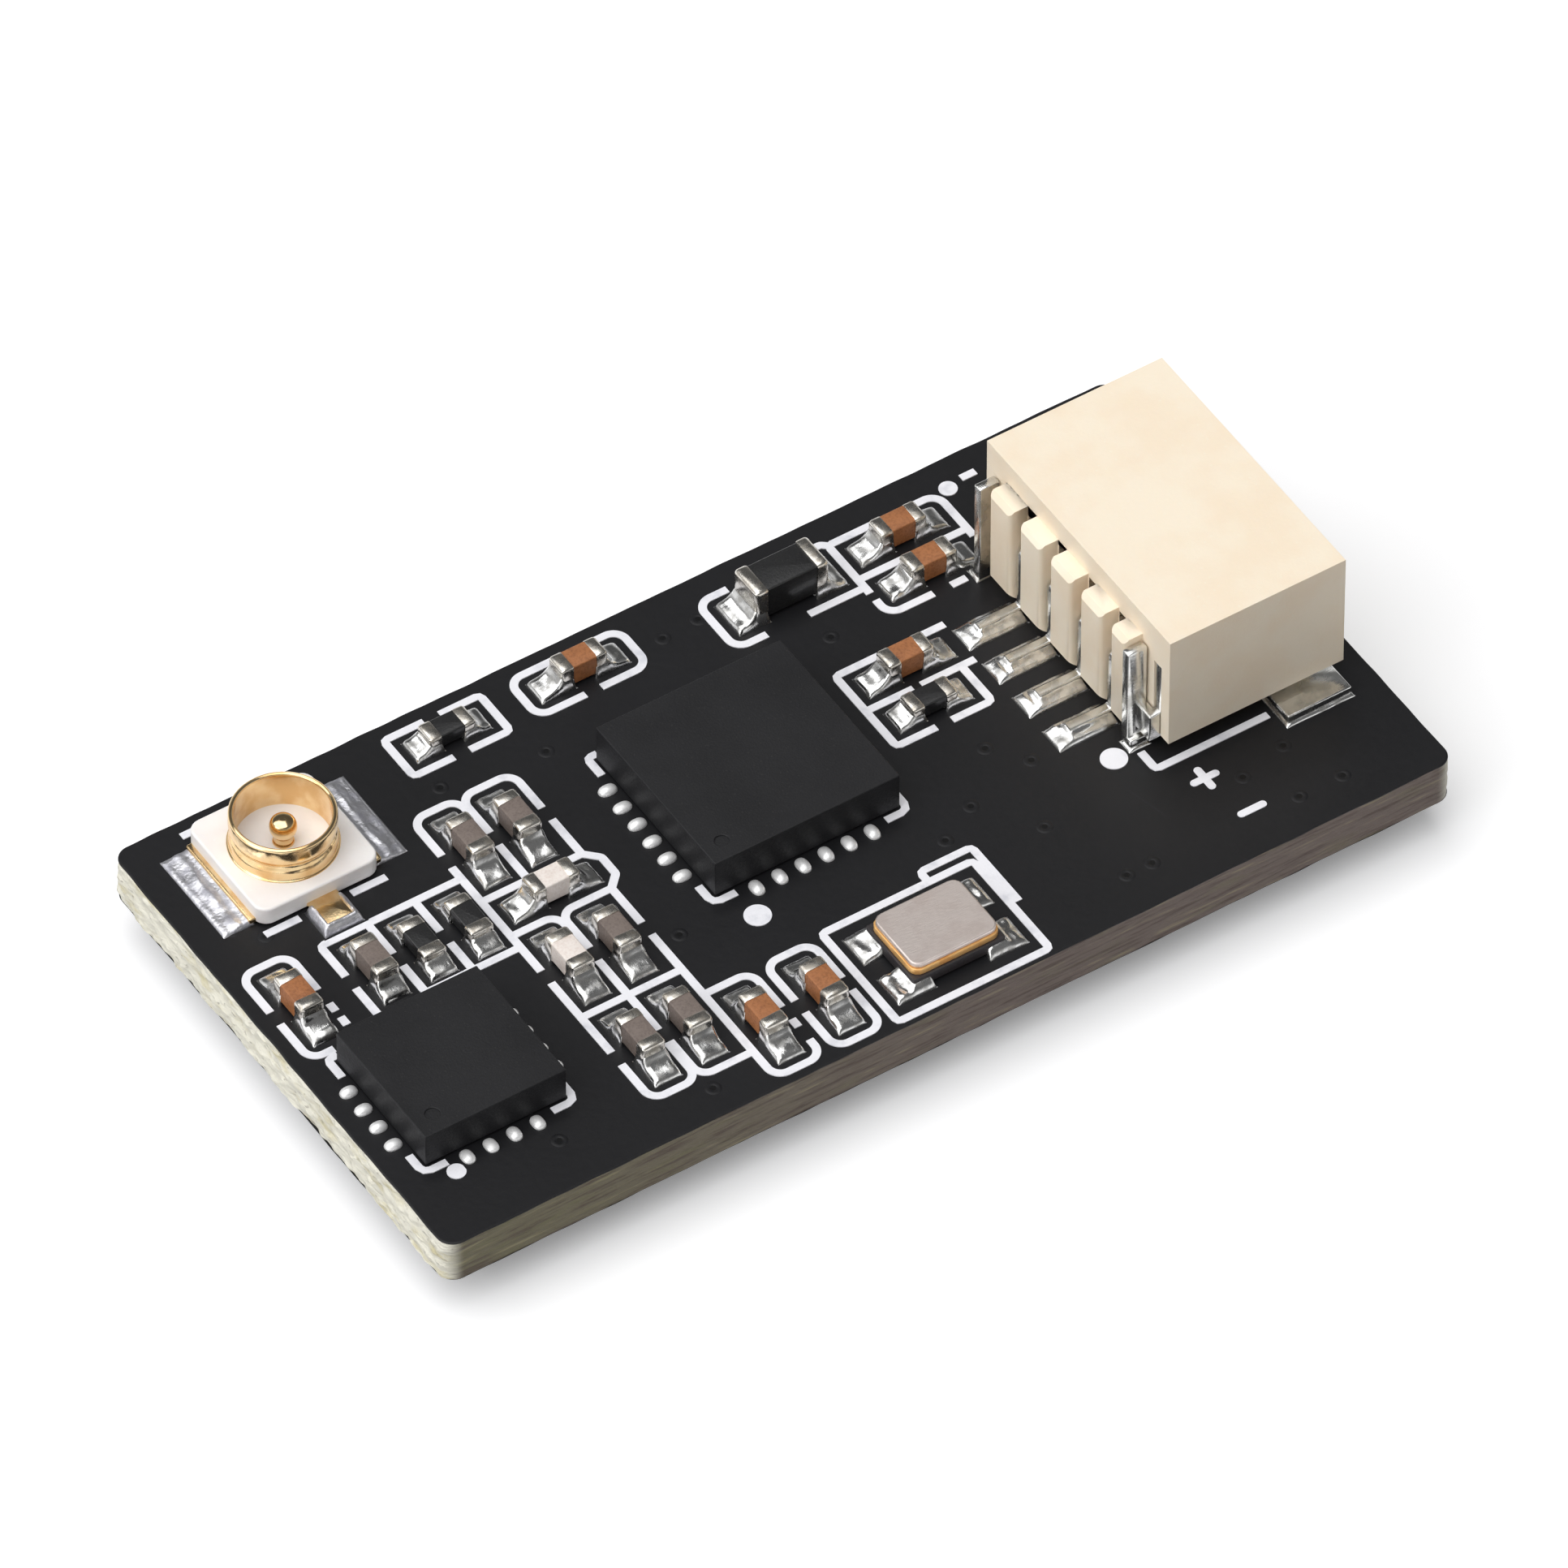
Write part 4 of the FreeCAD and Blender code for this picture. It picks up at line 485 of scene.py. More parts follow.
@dataclass(frozen=True)
class CeramicFinish(Finish):
    """Fired ceramic: fine grain, small pits and a dull or glassy surface."""

    tone: Tone = (158, 98, 62)
    fleck: Tone = (120, 70, 44)
    roughness: float = 0.5
    coat: float = 0.0
    coat_roughness: float = 0.12
    grain: float = 0.045
    cloud: float = 0.3
    pit: float = 0.06
    relief_depth: float = 0.006

    def paint(self, graph: Graph) -> Wire:
        """Paint the finish.

        Args:
            graph: the graph that takes its nodes.

        Returns:
            The finish's shader.
        """
        grain = graph.speckle(self.grain, detail=3.0)
        cloud = graph.speckle(self.cloud, seed=9.0)
        pits = graph.cells(self.pit, seed=2.0).between(0.18, 0.05)
        shade = grain.between(0.4, 0.75) * 0.6 + cloud.between(0.4, 0.8) * 0.4
        return graph.surface(Base_Color=graph.blend(self.tone, self.fleck, shade),
                             Roughness=(grain - 0.5) * 0.25 + self.roughness,
                             Normal=graph.relief(grain - pits * 0.6, self.relief_depth),
                             Coat_Weight=self.coat, Coat_Roughness=self.coat_roughness)


@dataclass(frozen=True)
class MouldedFinish(Finish):
    """Moulded plastic or moulding compound, with its cloudy tint and its tool's texture."""

    tone: Tone = (35, 35, 37)
    tint: Tone = (29, 29, 31)
    fleck: Tone = (54, 53, 52)
    roughness: float = 0.5
    cloud: float = 1.6
    texture: float = 0.045
    relief_depth: float = 0.006
    glow: float = 0.0
    glow_radius: Tone = (0.5, 0.35, 0.2)
    glow_depth: float = 0.3
    gloss: float = 0.28

    def paint(self, graph: Graph) -> Wire:
        """Paint the finish.

        Args:
            graph: the graph that takes its nodes.

        Returns:
            The finish's shader.
        """
        clouds = graph.speckle(self.cloud, detail=4.0).between(0.35, 0.7)
        grain = graph.speckle(self.texture, detail=3.0, seed=3.0)
        flecks = graph.cells(self.texture * 3, seed=8.0).between(0.16, 0.05)
        colour = graph.blend(graph.blend(self.tone, self.tint, clouds), self.fleck, flecks * 0.5)
        return graph.surface(Base_Color=colour, Roughness=(grain - 0.5) * 0.2 + self.roughness,
                             Normal=graph.relief(grain, self.relief_depth),
                             Subsurface_Weight=self.glow, Subsurface_Radius=self.glow_radius,
                             Subsurface_Scale=self.glow_depth * MM,
                             Specular_IOR_Level=self.gloss)


@dataclass(frozen=True)
class LensFinish(Finish):
    """Clear cast resin over a lamp."""

    tone: Tone = (236, 230, 190)
    clear: Tone = (250, 246, 220)
    swirl: float = 0.2
    refraction: float = 1.5

    def paint(self, graph: Graph) -> Wire:
        """Paint the finish.

        Args:
            graph: the graph that takes its nodes.

        Returns:
            The finish's shader.
        """
        swirl = graph.speckle(self.swirl)
        return graph.surface(Base_Color=graph.blend(self.tone, self.clear, swirl),
                             Roughness=swirl * 0.1 + 0.08, Transmission_Weight=0.6,
                             IOR=self.refraction)


MASK = MaskFinish("black_solder_mask", "laminate")
# Painted shade: a near-black mask colour for the discs laid in the vias' dimples, standing in for
# the shade in those hollows.
PAINTED_PIT_SHADE = MaskFinish("painted_via_pit_shade", "laminate", tone=(9, 9, 10), worn=(15, 15, 16))
LAMINATE = LaminateFinish("glass_laminate_edge", "laminate")
INK = InkFinish("white_printing_ink", "ink")
SOLDER = MetalFinish("tin_solder", "solder", tone=(232, 232, 231), dull=(186, 185, 182),
                     bright_roughness=0.15, dull_roughness=0.34, patch=0.2, grain=0.06,
                     relief_depth=0.0018)
# Painted sheen: with metallic only 0.42, most of this solder is a near-white diffuse colour that
# stands in for the bright reflections of the drops.
PAD_SOLDER_PAINTED_SHEEN = MetalFinish("pad_solder_painted_sheen", "solder", tone=(252, 252, 252), dull=(238, 238, 238),
                         bright_roughness=0.34, dull_roughness=0.46, patch=0.2, grain=0.03,
                         relief_depth=0.002, metal=0.42)
GRAINY_SOLDER = MetalFinish("grainy_solder", "solder", tone=(228, 228, 233), dull=(186, 186, 194),
                            bright_roughness=0.32, dull_roughness=0.5, patch=0.24, grain=0.075,
                            relief_depth=0.009)
END_METAL = MetalFinish("plated_chip_ends", "end_metal", tone=(228, 224, 216), dull=(188, 181, 170),
                        bright_roughness=0.2, dull_roughness=0.34, patch=0.16, grain=0.06,
                        relief_depth=0.0014)
STRIP = MetalFinish("tinned_strip", "tinned_strip", tone=(226, 226, 224), dull=(190, 189, 184),
                    bright_roughness=0.16, dull_roughness=0.32, patch=0.4, grain=0.03,
                    relief_depth=0.003, stretch=(6.0, 1.0, 1.0))
GOLD = MetalFinish("thin_gold_plate", "gold", tone=(246, 217, 168), dull=(230, 190, 134),
                   bright_roughness=0.14, dull_roughness=0.24, patch=0.5, grain=0.06,
                   relief_depth=0.001)
# Gold with painted sheen: metallic 0.5 makes half of the seal ring a diffuse orange that stands in
# for the highlight along its sides.
SEAL_GOLD_PAINTED_SHEEN = MetalFinish("seal_ring_gold_painted_sheen", "gold", tone=(252, 200, 128), dull=(236, 174, 102),
                        bright_roughness=0.34, dull_roughness=0.46, patch=0.3, grain=0.04,
                        relief_depth=0.003, metal=0.5)
LID = MetalFinish("plated_lid", "lid_metal", tone=(234, 223, 217), dull=(218, 206, 200),
                  bright_roughness=0.48, dull_roughness=0.56, patch=0.5, grain=0.025,
                  relief_depth=0.003, stretch=(5.0, 1.0, 1.0))
BROWN = CeramicFinish("brown_ceramic", "brown_ceramic", tone=(170, 110, 67), fleck=(130, 80, 47))
GREY = CeramicFinish("grey_ceramic", "grey_ceramic", tone=(124, 112, 105), fleck=(98, 86, 80))
WHITE = CeramicFinish("white_ceramic", "white_ceramic", tone=(242, 233, 226),
                      fleck=(222, 206, 196), roughness=0.42)
BLACK = CeramicFinish("black_glaze", "black_ceramic", tone=(34, 34, 35), fleck=(22, 22, 23),
                      roughness=0.35, coat=0.3)
DARK = CeramicFinish("dark_ceramic", "dark_ceramic", tone=(52, 48, 50), fleck=(40, 36, 38))
COMPOUND = MouldedFinish("black_moulding_compound", "black_moulding")
CREAM = MouldedFinish("cream_nylon", "cream_moulding", tone=(253, 239, 217), tint=(251, 233, 208),
                      fleck=(253, 242, 222), cloud=1.1, texture=0.07, relief_depth=0.004,
                      glow=0.08, gloss=0.4)
PORCELAIN = MouldedFinish("white_moulding", "white_moulding", tone=(250, 247, 245),
                          tint=(244, 239, 237), fleck=(252, 250, 248), roughness=0.4, cloud=0.8,
                          texture=0.06, relief_depth=0.003, glow=0.05, gloss=0.4)
CARRIER = MouldedFinish("white_carrier", "lamp_carrier", tone=(232, 231, 226), tint=(220, 218, 212),
                        fleck=(240, 240, 236), cloud=0.5, relief_depth=0.003)
LENS = LensFinish("clear_resin", "lamp_lens")


def rectangle(low: Vector, high: Vector, corner: float, steps: int) -> list[Vector]:
    """A rectangle on the plan with round corners.

    Args:
        low: its lowest corner.
        high: its highest corner.
        corner: the radius of its corners, in metres.
        steps: how many stretches each corner's arc has.

    Returns:
        Its points, anticlockwise, at z = 0.
    """
    points = []
    middles = ((high.x - corner, high.y - corner), (low.x + corner, high.y - corner),
               (low.x + corner, low.y + corner), (high.x - corner, low.y + corner))
    for quarter, (x, y) in enumerate(middles):
        for step in range(steps + 1):
            angle = math.radians(90 * (quarter + step / steps))
            points.append(Vector((x + corner * math.cos(angle), y + corner * math.sin(angle), 0)))
    return points


def soften(points: Sequence[Vector], rounds: int = 2) -> list[Vector]:
    """Cut the corners of an open line again and again, which rounds them.

    Args:
        points: the line.
        rounds: how often its corners are cut.

    Returns:
        The rounded line, with the same ends.
    """
    line = list(points)
    for _ in range(rounds):
        cut = [line[0]]
        for start, end in zip(line, line[1:]):
            cut += [start.lerp(end, 0.25), start.lerp(end, 0.75)]
        line = cut + [line[-1]]
    return line


def soften_profile(profile: Sequence[tuple[float, float]]) -> list[tuple[float, float]]:
    """A profile of radii and heights with its corners cut round."""
    line = soften([Vector((radius, height, 0)) for radius, height in profile])
    return [(point.x, point.y) for point in line]


def bent(points: Sequence[Vector], radius: float, steps: int = 6) -> list[Vector]:
    """Put an arc in each inner corner of a line.

    Args:
        points: the line.
        radius: the arcs' radius in metres.
        steps: stretches of each arc.

    Returns:
        The bent line.
    """
    line = [points[0]]
    for before, corner, after in zip(points, points[1:], points[2:]):
        inward, outward = (before - corner).normalized(), (after - corner).normalized()
        half = inward.angle(outward) / 2
        reach = radius / math.tan(half)
        middle = corner + (inward + outward).normalized() * (radius / math.sin(half))
        start = (corner + inward * reach - middle).normalized()
        end = (corner + outward * reach - middle).normalized()
        line += [middle + start.slerp(end, step / steps) * radius for step in range(steps + 1)]
    return line + [points[-1]]


class Draft:
    """A mesh being drafted in metres, which ends as one dressed piece of the receiver."""

    def __init__(self) -> None:
        """Start an empty mesh."""
        self.mesh = bmesh.new()

    def loft(self, loops: Sequence[Sequence[Vector]], slot: int = 0, ring: bool = False) -> None:
        """Join closed loops of as many points each, one after the other.

        Args:
            loops: the loops, each a list of points.
            slot: the material slot of the new faces.
            ring: True joins the last loop to the first, and False caps both ends.
        """
        rows = [[self.mesh.verts.new(point) for point in loop] for loop in loops]
        faces = []
        for lower, upper in zip(rows, rows[1:] + rows[:1] if ring else rows[1:]):
            faces += zip(lower, lower[1:] + lower[:1], upper[1:] + upper[:1], upper)
        if not ring:
            faces += [rows[0][::-1], rows[-1]]
        for corners in faces:
            self.mesh.faces.new(corners).material_index = slot

    def slab(self, low: Vector, high: Vector, corner: float, edge: float, steps: int = 4) -> None:
        """A flat block with round corners on the plan and round edges above and below.

        Args:
            low: its lowest corner.
            high: its highest corner.
            corner: radius of the corners on the plan, in millimetres.
            edge: radius of the edges, in millimetres.
            steps: stretches of each arc.
        """
        corner, edge = corner * MM, edge * MM
        loops = []
        for z, sign in ((low.z + edge, -1), (high.z - edge, 1)):
            turns = range(steps + 1) if sign > 0 else range(steps, -1, -1)
            for step in turns:
                angle = math.pi / 2 * step / steps
                inset = edge * (1 - math.cos(angle))
                lift = Vector((0, 0, z + sign * edge * math.sin(angle)))
                inner = Vector((inset, inset, 0))
                radius = max(corner - inset, LEAST_CORNER)
                loops.append([point + lift
                              for point in rectangle(low + inner, high - inner, radius, steps)])
        self.loft(loops)

    def lathe(self, centre: Vector, profile: Sequence[tuple[float, float]], steps: int) -> None:
        """Turn a profile about an upright axis.

        Args:
            centre: the point of the axis that heights are measured from.
            profile: radius and height of each point, in millimetres; it starts and ends on the
                axis, or else it is a closed ring.
            steps: stretches round the axis.
        """
        angles = [2 * math.pi * step / steps for step in range(steps)]
        loops = []
        for radius, height in profile:
            reach = max(radius, LEAST_REACH)
            loops.append([centre + Vector((reach * math.cos(angle), reach * math.sin(angle),
                                           height)) * MM for angle in angles])
        self.loft(loops, ring=profile[0][0] > 0)

    def strip(self, path: Sequence[Vector], across: Vector, width: float, sheet: float,
              edge: float) -> None:
        """Bend a strip of sheet metal along a line.

        Args:
            path: the line of its middle.
            across: the direction of its width, at right angles to the line.
            width: its width in millimetres.
            sheet: its thickness in millimetres.
            edge: the radius of its edges in millimetres.
        """
        half = Vector((width / 2, sheet / 2, 0)) * MM
        section = rectangle(-half, half, edge * MM, 3)
        loops = []
        for index, point in enumerate(path):
            ahead = path[min(index + 1, len(path) - 1)] - path[max(index - 1, 0)]
            normal = across.cross(ahead).normalized()
            loops.append([point + across * corner.x + normal * corner.y for corner in section])
        self.loft(loops)

    def copy_node(self, node: str) -> None:
        """Take over a node's own solids, with their facets joined into whole faces.

        Args:
            node: the node.
        """
        self.mesh.from_mesh(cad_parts[node].data)
        bmesh.ops.remove_doubles(self.mesh, verts=self.mesh.verts, dist=WELD)
        bmesh.ops.dissolve_limit(self.mesh, angle_limit=NEARLY_FLAT, verts=self.mesh.verts,
                                 edges=self.mesh.edges)

    def round_edges(self, radius: float, chosen: Callable[[bmesh.types.BMEdge], bool],
                    steps: int = 3) -> None:
        """Round the edges that a test picks.

        Args:
            radius: the rounding's radius in millimetres.
            chosen: the test, True for an edge to round.
            steps: stretches of each rounding.
        """
        edges = [edge for edge in self.mesh.edges if edge.is_manifold and chosen(edge)]
        bmesh.ops.bevel(self.mesh, geom=edges, offset=radius * MM, offset_type="OFFSET",
                        segments=steps, profile=0.5, affect="EDGES", clamp_overlap=True)

    def piece(self, name: str, finishes: "Finish | Sequence[Finish]", *nodes: str,
              crease: float = 38.0) -> bpy.types.Object:
        """End the draft as a piece that rides on the receiver.

        Args:
            name: the piece's name.
            finishes: its finish, or one for each material slot.
            nodes: the nodes that it stands for.
            crease: edges sharper than this many degrees stay sharp in the shading, and 0 leaves
                every face flat.

        Returns:
            The piece.
        """
        bmesh.ops.recalc_face_normals(self.mesh, faces=self.mesh.faces)
        data = bpy.data.meshes.new(name)
        self.mesh.to_mesh(data)
        self.mesh.free()
        data.polygons.foreach_set("use_smooth", [crease > 0] * len(data.polygons))
        data.set_sharp_from_angle(angle=math.radians(crease))
        layers = [finishes] if isinstance(finishes, Finish) else list(finishes)
        for finish in layers:
            data.materials.append(finish.material())
        made = in_scene(name, data)
        even = made.modifiers.new("even_shading", "WEIGHTED_NORMAL")
        even.keep_sharp = True
        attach(made, "root")
        if nodes:
            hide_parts(*nodes)
        log.info("%s: %d faces, %s", name, len(data.polygons), layers[0].name)
        return made


def convex(edge: bmesh.types.BMEdge) -> bool:
    """True for a sharp outer edge."""
    return edge.calc_face_angle_signed(0.0) > SHARP


def block(node: str, finish: Finish, corner: float, edge: float, steps: int = 4) -> None:
    """Draft a node anew as a block in its own box.

    Args:
        node: the node.
        finish: the finish.
        corner: radius of the corners on the plan, in millimetres.
        edge: radius of the edges, in millimetres.
        steps: stretches of each arc.
    """
    draft = Draft()
    draft.slab(*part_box(node), corner, edge, steps)
    draft.piece(node, finish, node)


def rounded(node: str, finish: Finish, edge: float) -> None:
    """Draft a node from its own solids, with their outer edges rounded.

    Args:
        node: the node.
        finish: the finish.
        edge: radius of the edges, in millimetres.
    """
    draft = Draft()
    draft.copy_node(node)
    draft.round_edges(edge, convex)
    draft.piece(node, finish, node)


def numbered(prefix: str) -> list[str]:
    """The nodes whose names start in the same way, in order."""
    return sorted(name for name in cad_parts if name.startswith(prefix))


class Face(Enum):
    """The two faces of the board, by the direction in which pieces stand on them."""

    UPPER = 1
    LOWER = -1

    @property
    def level(self) -> float:
        """The height of the board's face."""
        return TOP if self is Face.UPPER else UNDER


@dataclass(frozen=True)
class Island:
    """One solid of a node that is a group of solids."""

    low: Vector
    high: Vector
    face: Face


def islands(node: str) -> list[Island]:
    """Tell the separate solids of a node apart, from its own mesh.

    Args:
        node: the node.

    Returns:
        The solids, in the order of their lowest corners.
    """
    mesh = bmesh.new()
    mesh.from_mesh(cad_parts[node].data)
    bmesh.ops.remove_doubles(mesh, verts=mesh.verts, dist=WELD)
    found = []
    left = set(mesh.verts)
    while left:
        group, edge = set(), [left.pop()]
        while edge:
            vert = edge.pop()
            group.add(vert)
            for link in vert.link_edges:
                other = link.other_vert(vert)
                if other in left:
                    left.remove(other)
                    edge.append(other)
        low = Vector(min(vert.co[axis] for vert in group) for axis in range(3))
        high = Vector(max(vert.co[axis] for vert in group) for axis in range(3))
        face = Face.UPPER if low.z > (TOP + UNDER) / 2 else Face.LOWER
        found.append(Island(low, high, face))
    mesh.free()
    return sorted(found, key=lambda island: tuple(island.low))


@dataclass(frozen=True)
class Climb:
    """A metal part that solder climbs: its rectangle on the plan and the height it is wetted to."""

    low: Vector
    high: Vector
    rise: float

    def distance(self, x: float, y: float) -> float:
        """Measure how far a place is from the rectangle.

        Args:
            x: the place along X, in metres.
            y: the place along Y, in metres.

        Returns:
            The distance in millimetres, negative inside the rectangle.
        """
        gap_x = max(self.low.x - x, x - self.high.x) / MM
        gap_y = max(self.low.y - y, y - self.high.y) / MM
        if gap_x < 0 and gap_y < 0:
            return max(gap_x, gap_y)
        return math.hypot(max(gap_x, 0.0), max(gap_y, 0.0))


@dataclass
class SolderPools:
    """Solder on the lands of one node: a domed pool on each land that climbs the metal beside it.

    Lengths are in millimetres. The climb falls to about a third within one reach of the metal, the
    pool swells most at the belly, and the metal counts as far as the far limit, both in reaches.
    """

    node: str
    climbs: Sequence[Climb]
    thickness: float = 0.055
    reach: float = 0.15
    corner: float = 0.1
    border: float = 0.11
    cell: float = 0.035
    seat: float = 0.038
    least: float = 0.002
    buried: float = 0.05
    far: float = 4.0
    belly: float = 2.2
    bulge: float = 0.05
    wave: float = 0.35
    swells: float = 3.2
    finish: Finish = SOLDER

    def height(self, island: Island, x: float, y: float, seed: float) -> float:
        """Work out how high the solder stands over a point of its land.

        Args:
            island: the land.
            x: the point along X, in metres.
            y: the point along Y, in metres.
            seed: makes each pool uneven in its own way.

        Returns:
            The height in millimetres.
        """
        low, high = island.low, island.high
        size_x, size_y = (high.x - low.x) / MM, (high.y - low.y) / MM
        inset_x = size_x / 2 - abs(x - (low.x + high.x) / 2) / MM
        inset_y = size_y / 2 - abs(y - (low.y + high.y) / 2) / MM
        if inset_x < self.corner and inset_y < self.corner:
            inset = self.corner - math.hypot(self.corner - inset_x, self.corner - inset_y)
        else:
            inset = min(inset_x, inset_y)
        border = min(self.border, min(size_x, size_y) / 2)
        share = min(max(inset / border, 0.0), 1.0)
        dome = math.sqrt(share * (2 - share))
        swell = noise.noise(Vector((x / MM * self.swells, y / MM * self.swells, seed)))
        pool = self.thickness * (1 + self.wave * swell)
        climb = 0.0
        for metal in self.climbs:
            distance = metal.distance(x, y)
            if distance < -self.buried:
                return min(self.seat, dome * self.thickness)
            if distance < self.far * self.reach:
                slope = math.exp(-max(distance, 0.0) / self.reach * (1 + 0.4 * swell))
                climb = max(climb, metal.rise * slope)
                offset = (distance - self.belly * self.reach) / self.reach
                pool += self.bulge * math.exp(-offset * offset) * (0.7 + 0.6 * swell)
        return dome * (pool + climb)

    def build(self) -> bpy.types.Object:
        """Draft every pool of the node.

        Returns:
            The pools as one piece.
        """
        draft = Draft()
        for number, island in enumerate(islands(self.node)):
            self.add_pool(draft, island, number * 3.7 + 0.5)
        return draft.piece(self.node, self.finish, self.node, crease=SOLDER_CREASE)

    def add_pool(self, draft: Draft, island: Island, seed: float) -> None:
        """Draft one pool as a closed grid over its land.

        Args:
            draft: the draft that takes it.
            island: the land.
            seed: makes each pool uneven in its own way.
        """
        span = island.high - island.low
        columns = max(5, round(span.x / MM / self.cell))
        rows = max(5, round(span.y / MM / self.cell))
        sign = island.face.value
        grid = []
        for row in range(rows + 1):
            y = island.low.y + span.y * row / rows
            line = []
            for column in range(columns + 1):
                x = island.low.x + span.x * column / columns
                lift = max(self.height(island, x, y, seed), self.least) * MM
                line.append(draft.mesh.verts.new((x, y, island.face.level + sign * lift)))
            grid.append(line)
        for row in range(rows):
            for column in range(columns):
                draft.mesh.faces.new((grid[row][column], grid[row][column + 1],
                                      grid[row + 1][column + 1], grid[row + 1][column]))
        rim = (grid[0][:-1] + [line[-1] for line in grid[:-1]] + grid[-1][:0:-1]
               + [line[0] for line in grid[:0:-1]])
        foot = [draft.mesh.verts.new((vert.co.x, vert.co.y, island.face.level)) for vert in rim]
        for side in zip(rim[1:] + rim[:1], rim, foot, foot[1:] + foot[:1]):
            draft.mesh.faces.new(side)
        draft.mesh.faces.new(foot)


@dataclass
class PadDrops:
    """Solder on the pads of a square chip: a low land under the chip and a bright drop beyond it.

    Places along a pad run from -1 at its inner end to 1 at its outer end. Heights and the inset are
    in millimetres.
    """

    node: str
    end: float
    start: float = 0.1
    height: float = 0.11
    vary: float = 0.25
    tip: float = 0.02
    blunt: float = 0.82
    steps: int = 12
    around: int = 24
    land_end: float = -0.08
    land_height: float = 0.036
    land_inset: float = 0.05

    def build(self) -> bpy.types.Object:
        """Draft every land and drop of the node.

        Returns:
            The lands and drops as one piece.
        """
        draft = Draft()
        pads = islands(self.node)
        centre = sum((pad.low + pad.high for pad in pads), Vector()) / (2 * len(pads))
        for number, pad in enumerate(pads):
            swell = noise.noise(Vector((number * 2.3, 0.7, 0.0)))
            self.add_pad(draft, pad, centre, 1 + self.vary * swell)
        return draft.piece(self.node, PAD_SOLDER_PAINTED_SHEEN, self.node, crease=SOLDER_CREASE)

    def add_pad(self, draft: Draft, pad: Island, centre: Vector, share: float) -> None:
        """Draft one land and, but for the land under the chip's middle, its drop.

        Args:
            draft: the draft that takes them.
            pad: the pad.
            centre: the chip's middle.
            share: the drop's height as a share of the usual one.
        """
        middle, half = (pad.low + pad.high) / 2, (pad.high - pad.low) / 2
        along = 0 if half.x > half.y else 1
        outward = math.copysign(half[along], middle[along] - centre[along])
        ends = (middle[along] - outward, middle[along] + outward * self.land_end)
        inset = Vector((self.land_inset, self.land_inset, 0)) * MM
        low, high = pad.low + inset, pad.high - inset
        low.z, high.z = TOP, TOP + self.land_height * MM
        under_middle = (middle - centre).xy.length < min(half.x, half.y)
        if not under_middle:
            low[along], high[along] = min(ends), max(ends)
        draft.slab(low, high, self.land_height, self.land_height / 3, 1)
        if under_middle:
            return
        middle[along] += outward * (self.start + self.end) / 2
        half[along] *= (self.end - self.start) / 2
        turns = [math.radians(360 / self.around * index) for index in range(self.around)]
        loops = []
        for step in range(self.steps + 1):
            climb = math.pi / 2 * step / self.steps
            reach = max(math.cos(climb), self.tip)
            lift = TOP + self.height * share * math.sin(climb) * MM
            loops.append([Vector((middle.x + half.x * reach * self.blunted(math.cos(turn)),
                                  middle.y + half.y * reach * self.blunted(math.sin(turn)), lift))
                          for turn in turns])
        draft.loft(loops)

    def blunted(self, share: float) -> float:
        """A sine or cosine made blunter, so that a loop is between an ellipse and a rectangle."""
        return math.copysign(abs(share) ** self.blunt, share)


